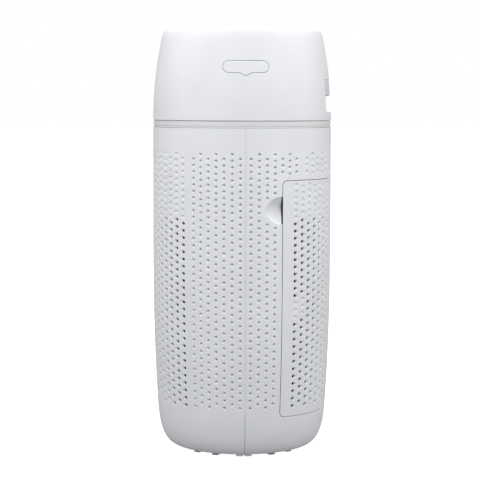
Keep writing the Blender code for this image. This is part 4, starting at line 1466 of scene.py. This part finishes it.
def materials():
    return {
        "shell": plastic("white_shell_plastic", WHITE, 0.42),
        "door": plastic("white_door_plastic", WHITE, 0.42),
        # The dark grey on the inner faces and on the small dimples' floors is painted shade, standing in for
        # the shadow inside the unit.
        "inside": plastic("painted_shade_inside_plastic", (0.10, 0.10, 0.105), 0.6),
        "ring": plastic("grey_ring_plastic", (0.73, 0.735, 0.75), 0.38),
        "tray": plastic("white_tray_plastic", WHITE, 0.40),
        "cup": plastic("handle_cup_plastic", (0.74, 0.75, 0.77), 0.45),
        "grip": plastic("handle_grip_plastic", (0.66, 0.67, 0.70), 0.48),
        "grille": plastic("grille_plastic", (0.72, 0.73, 0.75), 0.42),
        "panel": plastic("dark_panel_plastic", (0.035, 0.036, 0.04), 0.22, strength=0.1),
        "button": plastic("dark_button_plastic", (0.07, 0.07, 0.075), 0.36),
        "lens": plastic("smoked_lens_plastic", (0.012, 0.012, 0.016), 0.10, strength=0.03),
        "board": plastic("circuit_board_green", (0.03, 0.17, 0.09), 0.45, fine=900.0),
        "chassis": plastic("grey_chassis_plastic", (0.22, 0.225, 0.235), 0.50),
        "fan": plastic("black_fan_plastic", (0.045, 0.045, 0.05), 0.42),
        "motor": metal("motor_can_metal", (0.55, 0.55, 0.56), 0.30),
        "steel": metal("bright_steel", (0.62, 0.62, 0.64), 0.22),
        "magnet": metal("magnet_nickel", (0.42, 0.42, 0.43), 0.25),
        "switch": plastic("black_switch_plastic", (0.03, 0.03, 0.03), 0.45),
        "socket": plastic("black_socket_plastic", (0.025, 0.025, 0.026), 0.46),
        "base": plastic("white_base_plastic", (0.72, 0.73, 0.75), 0.48),
        "rubber": fibrous("grey_foot_rubber", (0.34, 0.34, 0.35), 900.0, 0.0001, 0.3, 0.06),
        "cap": plastic("filter_cap_plastic", (0.76, 0.77, 0.79), 0.50),
        "media": fibrous("filter_paper", (0.86, 0.86, 0.84), 1200.0, 0.0001, 0.5, 0.03),
        "sleeve": fibrous("sleeve_nylon", (0.10, 0.105, 0.11), 1500.0, 0.0001, 0.3, 0.15, 0.2),
        "carbon": fibrous("carbon_felt", (0.03, 0.03, 0.032), 700.0, 0.0004, 0.8, 0.35),
        "foam": fibrous("gasket_foam", (0.06, 0.06, 0.065), 1100.0, 0.0003, 0.9, 0.3),
        "ribbon": fibrous("pull_ribbon_weave", (0.10, 0.25, 0.50), 1600.0, 0.0001, 0.5, 0.15, 0.3),
        "icon": plastic("pale_icon_print", (0.62, 0.64, 0.66), 0.5),
        "pad": fibrous("fragrance_pad_felt", (0.80, 0.77, 0.70), 800.0, 0.0003, 0.8, 0.08, 0.3),
    }


# CAD nodes by the material that they show where nothing stands in for them.
MATERIAL_NODES = {
    "switch": "interlock_switch",
    "magnet": "door_magnet",
    "ring": "accent_ring",
    "cup": "handle_cup",
    "grip": "handle_grip",
    "tray": "aroma_tray",
    "pad": "aroma_pad",
    "grille": "top_grille inlet_guard",
    "panel": "control_panel",
    "lens": "display_lens",
    "board": "control_board power_board",
    "chassis": "latch_catch tray_guide panel_tub air_duct fan_housing motor_mount fan_deck filter_seat"
               " pillar_",
    "motor": "fan_motor",
    "steel": "motor_shaft base_screw_",
    "fan": "fan_impeller",
    "cap": "filter_cap_bottom filter_cap_top",
    "media": "filter_media",
    "sleeve": "prefilter_sleeve",
    "carbon": "carbon_core",
    "foam": "filter_gasket",
    "ribbon": "filter_pull_tab",
    "base": "base_pan",
    "socket": "power_inlet",
    "button": "button_",
    "rubber": "foot_pad_",
}


def node_material(name):
    """The material of a CAD node, by its name or by the start of its name."""
    for key, nodes in MATERIAL_NODES.items():
        if any(name == node or node.endswith("_") and name.startswith(node) for node in nodes.split()):
            return key
    return "shell"


# ---- the view
def add_camera():
    angle = radians(CAMERA_DEG)
    ahead = Vector((-cos(angle), -sin(angle), 0.0))
    right = Vector((-sin(angle), cos(angle), 0.0))
    up = Vector((0.0, 0.0, 1.0))
    right_1 = right * cos(CAMERA_YAW) - ahead * sin(CAMERA_YAW)
    ahead_1 = right * sin(CAMERA_YAW) + ahead * cos(CAMERA_YAW)
    up_2 = up * cos(CAMERA_DOWN) + ahead_1 * sin(CAMERA_DOWN)
    ahead_2 = ahead_1 * cos(CAMERA_DOWN) - up * sin(CAMERA_DOWN)
    right_3 = right_1 * cos(CAMERA_ROLL) - up_2 * sin(CAMERA_ROLL)
    up_3 = right_1 * sin(CAMERA_ROLL) + up_2 * cos(CAMERA_ROLL)
    data = bpy.data.cameras.new("camera")
    data.sensor_width = SENSOR
    data.lens = LENS
    data.clip_start = 0.05
    data.clip_end = 100.0
    camera = placed("camera", data)
    turn = Matrix((right_3, up_3, -ahead_2)).transposed().to_4x4()
    camera.matrix_world = Matrix.Translation(-ahead * CAMERA_AWAY + up * CAMERA_HIGH) @ turn
    bpy.context.scene.camera = camera


def add_lights():
    """Soft rectangular lamps, all turned towards the lower body."""
    for name, (place, size, power) in LAMPS.items():
        data = bpy.data.lights.new(name, "AREA")
        data.shape = "RECTANGLE"
        data.size, data.size_y = size
        data.energy = power
        lamp = placed(name, data)
        lamp.location = place
        lamp.rotation_mode = "QUATERNION"
        lamp.rotation_quaternion = (Vector(LAMP_AIM) - Vector(place)).to_track_quat("-Z", "Y")


def add_world():
    """A pale room: white where it is looked at, brighter overhead than below where it lights things."""
    world = bpy.data.worlds.new("studio")
    world.use_nodes = True
    bpy.context.scene.world = world
    tree = world.node_tree
    seen = tree.nodes["Background"]
    seen.inputs["Color"].default_value = WHITE_LIGHT
    seen.inputs["Strength"].default_value = 1.0
    place = tree.nodes.new("ShaderNodeTexCoord")
    parts = tree.nodes.new("ShaderNodeSeparateXYZ")
    tree.links.new(place.outputs["Generated"], parts.inputs["Vector"])
    level = remap(tree, parts.outputs["Z"], (-1.0, 1.0), (ROOM_BELOW, ROOM_ABOVE))
    dim = tree.nodes.new("ShaderNodeBackground")
    dim.inputs["Color"].default_value = (0.98, 0.99, 1.0, 1.0)
    tree.links.new(level, dim.inputs["Strength"])
    path = tree.nodes.new("ShaderNodeLightPath")
    mix = tree.nodes.new("ShaderNodeMixShader")
    tree.links.new(path.outputs["Is Camera Ray"], mix.inputs["Fac"])
    tree.links.new(dim.outputs["Background"], mix.inputs[1])
    tree.links.new(seen.outputs["Background"], mix.inputs[2])
    tree.links.new(mix.outputs["Shader"], tree.nodes["World Output"].inputs["Surface"])


def add_floor():
    """A pale floor that glows a little, left out of the light that the unit reflects."""
    mesh = bpy.data.meshes.new("floor")
    side = (-FLOOR_HALF, FLOOR_HALF)
    mesh.from_pydata([(x, y, 0) for x, y in oblong(side, side)], [], [(0, 1, 2, 3)])
    floor = placed("floor", mesh)
    mat, tree, shader = nodes_of("pale_floor")
    tint(tree, shader, noise(tree, 3.0, 2.0), (0.93, 0.93, 0.935), (0.95, 0.95, 0.95))
    shader.inputs["Roughness"].default_value = 0.9
    shader.inputs["Specular IOR Level"].default_value = 0.1
    shader.inputs["Emission Color"].default_value = WHITE_LIGHT
    shader.inputs["Emission Strength"].default_value = FLOOR_GLOW
    mesh.materials.append(mat)
    floor.visible_diffuse = False
    floor.visible_glossy = False


# ---- everything
def show(mats, key, obj, *nodes, body="housing", slot=None):
    """Gives a piece its material, the body it rides on, and the CAD nodes that it stands for; slot is not
    used.
    """
    obj.data.materials.append(mats[key])
    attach(obj, body)
    if nodes:
        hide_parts(*nodes)
    return obj


def fixed(mats, pieces):
    """Pieces of the housing, each as its material, its object and its CAD node."""
    for key, obj, *nodes in pieces:
        show(mats, key, obj, *nodes)


def add_skins(mats, body, head):
    """The two half shells, the door and the head, whose inner faces and small dimples' floors are painted
    dark as shade.
    """
    front_feet = seam_feet("front_feet", [-deg for deg in FOOT_DEGS])
    front = merge("front_shell_skin", front_shell(body), front_feet)
    rear_feet = seam_feet("rear_feet", FOOT_DEGS)
    rear = merge("rear_shell_skin", rear_shell(body), scoop_bowl(body), rear_feet)
    door = door_fittings(filter_door(body))
    top = head_shell(head)
    show(mats, "shell", front, "front_shell")
    show(mats, "shell", rear, "rear_shell")
    show(mats, "door", door, "filter_door", body="door")
    show(mats, "shell", top, "head_shell")
    # The second material paints the inner faces and the small dimples' floors dark grey, as shade.
    for skin in (front, rear, door, top):
        skin.data.materials.append(mats["inside"])


def add_trims(mats, head):
    fixed(mats, (
        ("ring", accent_ring(), "accent_ring"),
        ("cup", handle_cup(head), "handle_cup"),
        ("grip", handle_grip(), "handle_grip"),
    ))
    show(mats, "tray", tray_cover(head), "aroma_tray", body="tray")
    pad = show(mats, "pad", scent_pad(), "aroma_pad", body="tray")
    show(mats, "chassis", tray_guide(), "tray_guide")
    magnet = small_block("door_magnet_block", (31.0, (-4.0, 4.0), (107.4, 111.5), (336.0, 344.0)))
    show(mats, "magnet", magnet, "door_magnet", body="door")
    catch = small_block("latch_catch_hook", (21.0, (-5.0, 3.8), (103.6, 111.0), (182.0, 200.0)),
                        (21.0, (-5.0, 9.8), (103.6, 107.0), (182.0, 200.0)))
    switch = small_block("interlock_switch_case", (31.0, (-4.5, 4.5), (95.0, 104.5), (334.0, 352.6)),
                         (31.0, (-2.0, 2.0), (104.0, 106.2), (338.0, 342.0)), bevel=0.3)
    show(mats, "chassis", catch, "latch_catch")
    show(mats, "switch", switch, "interlock_switch")


def add_top(mats):
    fixed(mats, (
        ("grille", top_grille(), "top_grille"),
        ("panel", control_panel(), "control_panel"),
        ("lens", display_lens(), "display_lens"),
    ))
    for k in range(BUTTONS):
        show(mats, "button", push_button(k), f"button_{k + 1}", body=f"key_{k + 1}")
        show(mats, "icon", button_icon(k), body=f"key_{k + 1}", slot="button")
    show(mats, "chassis", panel_tub(), "panel_tub")


def add_fan(mats):
    fixed(mats, (
        ("chassis", air_duct(), "air_duct"),
        ("chassis", fan_housing(), "fan_housing"),
        ("chassis", motor_mount(), "motor_mount"),
        ("motor", fan_motor(), "fan_motor"),
    ))
    show(mats, "steel", motor_shaft(), "motor_shaft", body="fan")
    show(mats, "fan", fan_impeller(), "fan_impeller", body="fan")
    show(mats, "chassis", fan_deck(), "fan_deck")
    show(mats, "grille", inlet_guard(), "inlet_guard")


def add_filter(mats):
    show(mats, "media", filter_media(), "filter_media")
    net = show(mats, "sleeve", prefilter_sleeve(), "prefilter_sleeve")
    fixed(mats, (
        ("carbon", carbon_core(), "carbon_core"),
        ("cap", filter_cap_bottom(), "filter_cap_bottom"),
        ("cap", filter_cap_top(), "filter_cap_top"),
    ))
    gasket = show(mats, "foam", filter_gasket(), "filter_gasket")
    ribbon = show(mats, "ribbon", pull_tab(), "filter_pull_tab")
    show(mats, "chassis", filter_seat(), "filter_seat")
    fixed(mats, [("chassis", pillar(k, deg), f"pillar_{k + 1}") for k, deg in enumerate(PILLAR_DEGS)])


def add_base(mats):
    show(mats, "base", base_pan(), "base_pan")
    fixed(mats, [("steel", base_screw(k), f"base_screw_{k + 1}") for k in range(4)])
    fixed(mats, [("rubber", foot_pad(k, deg), f"foot_pad_{k + 1}") for k, deg in enumerate(PAD_DEGS)])
    show(mats, "socket", power_inlet(), "power_inlet")
    show(mats, "steel", inlet_pins())


def main():
    mats = materials()
    for name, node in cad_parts.items():
        node.data.materials.clear()
        node.data.materials.append(mats[node_material(name)])
    head = head_profile()
    add_skins(mats, body_profile(), head)
    add_trims(mats, head)
    add_top(mats)
    add_fan(mats)
    add_filter(mats)
    add_base(mats)
    add_floor()
    add_world()
    add_lights()
    add_camera()
    bpy.context.scene.view_settings.view_transform = "Standard"


main()
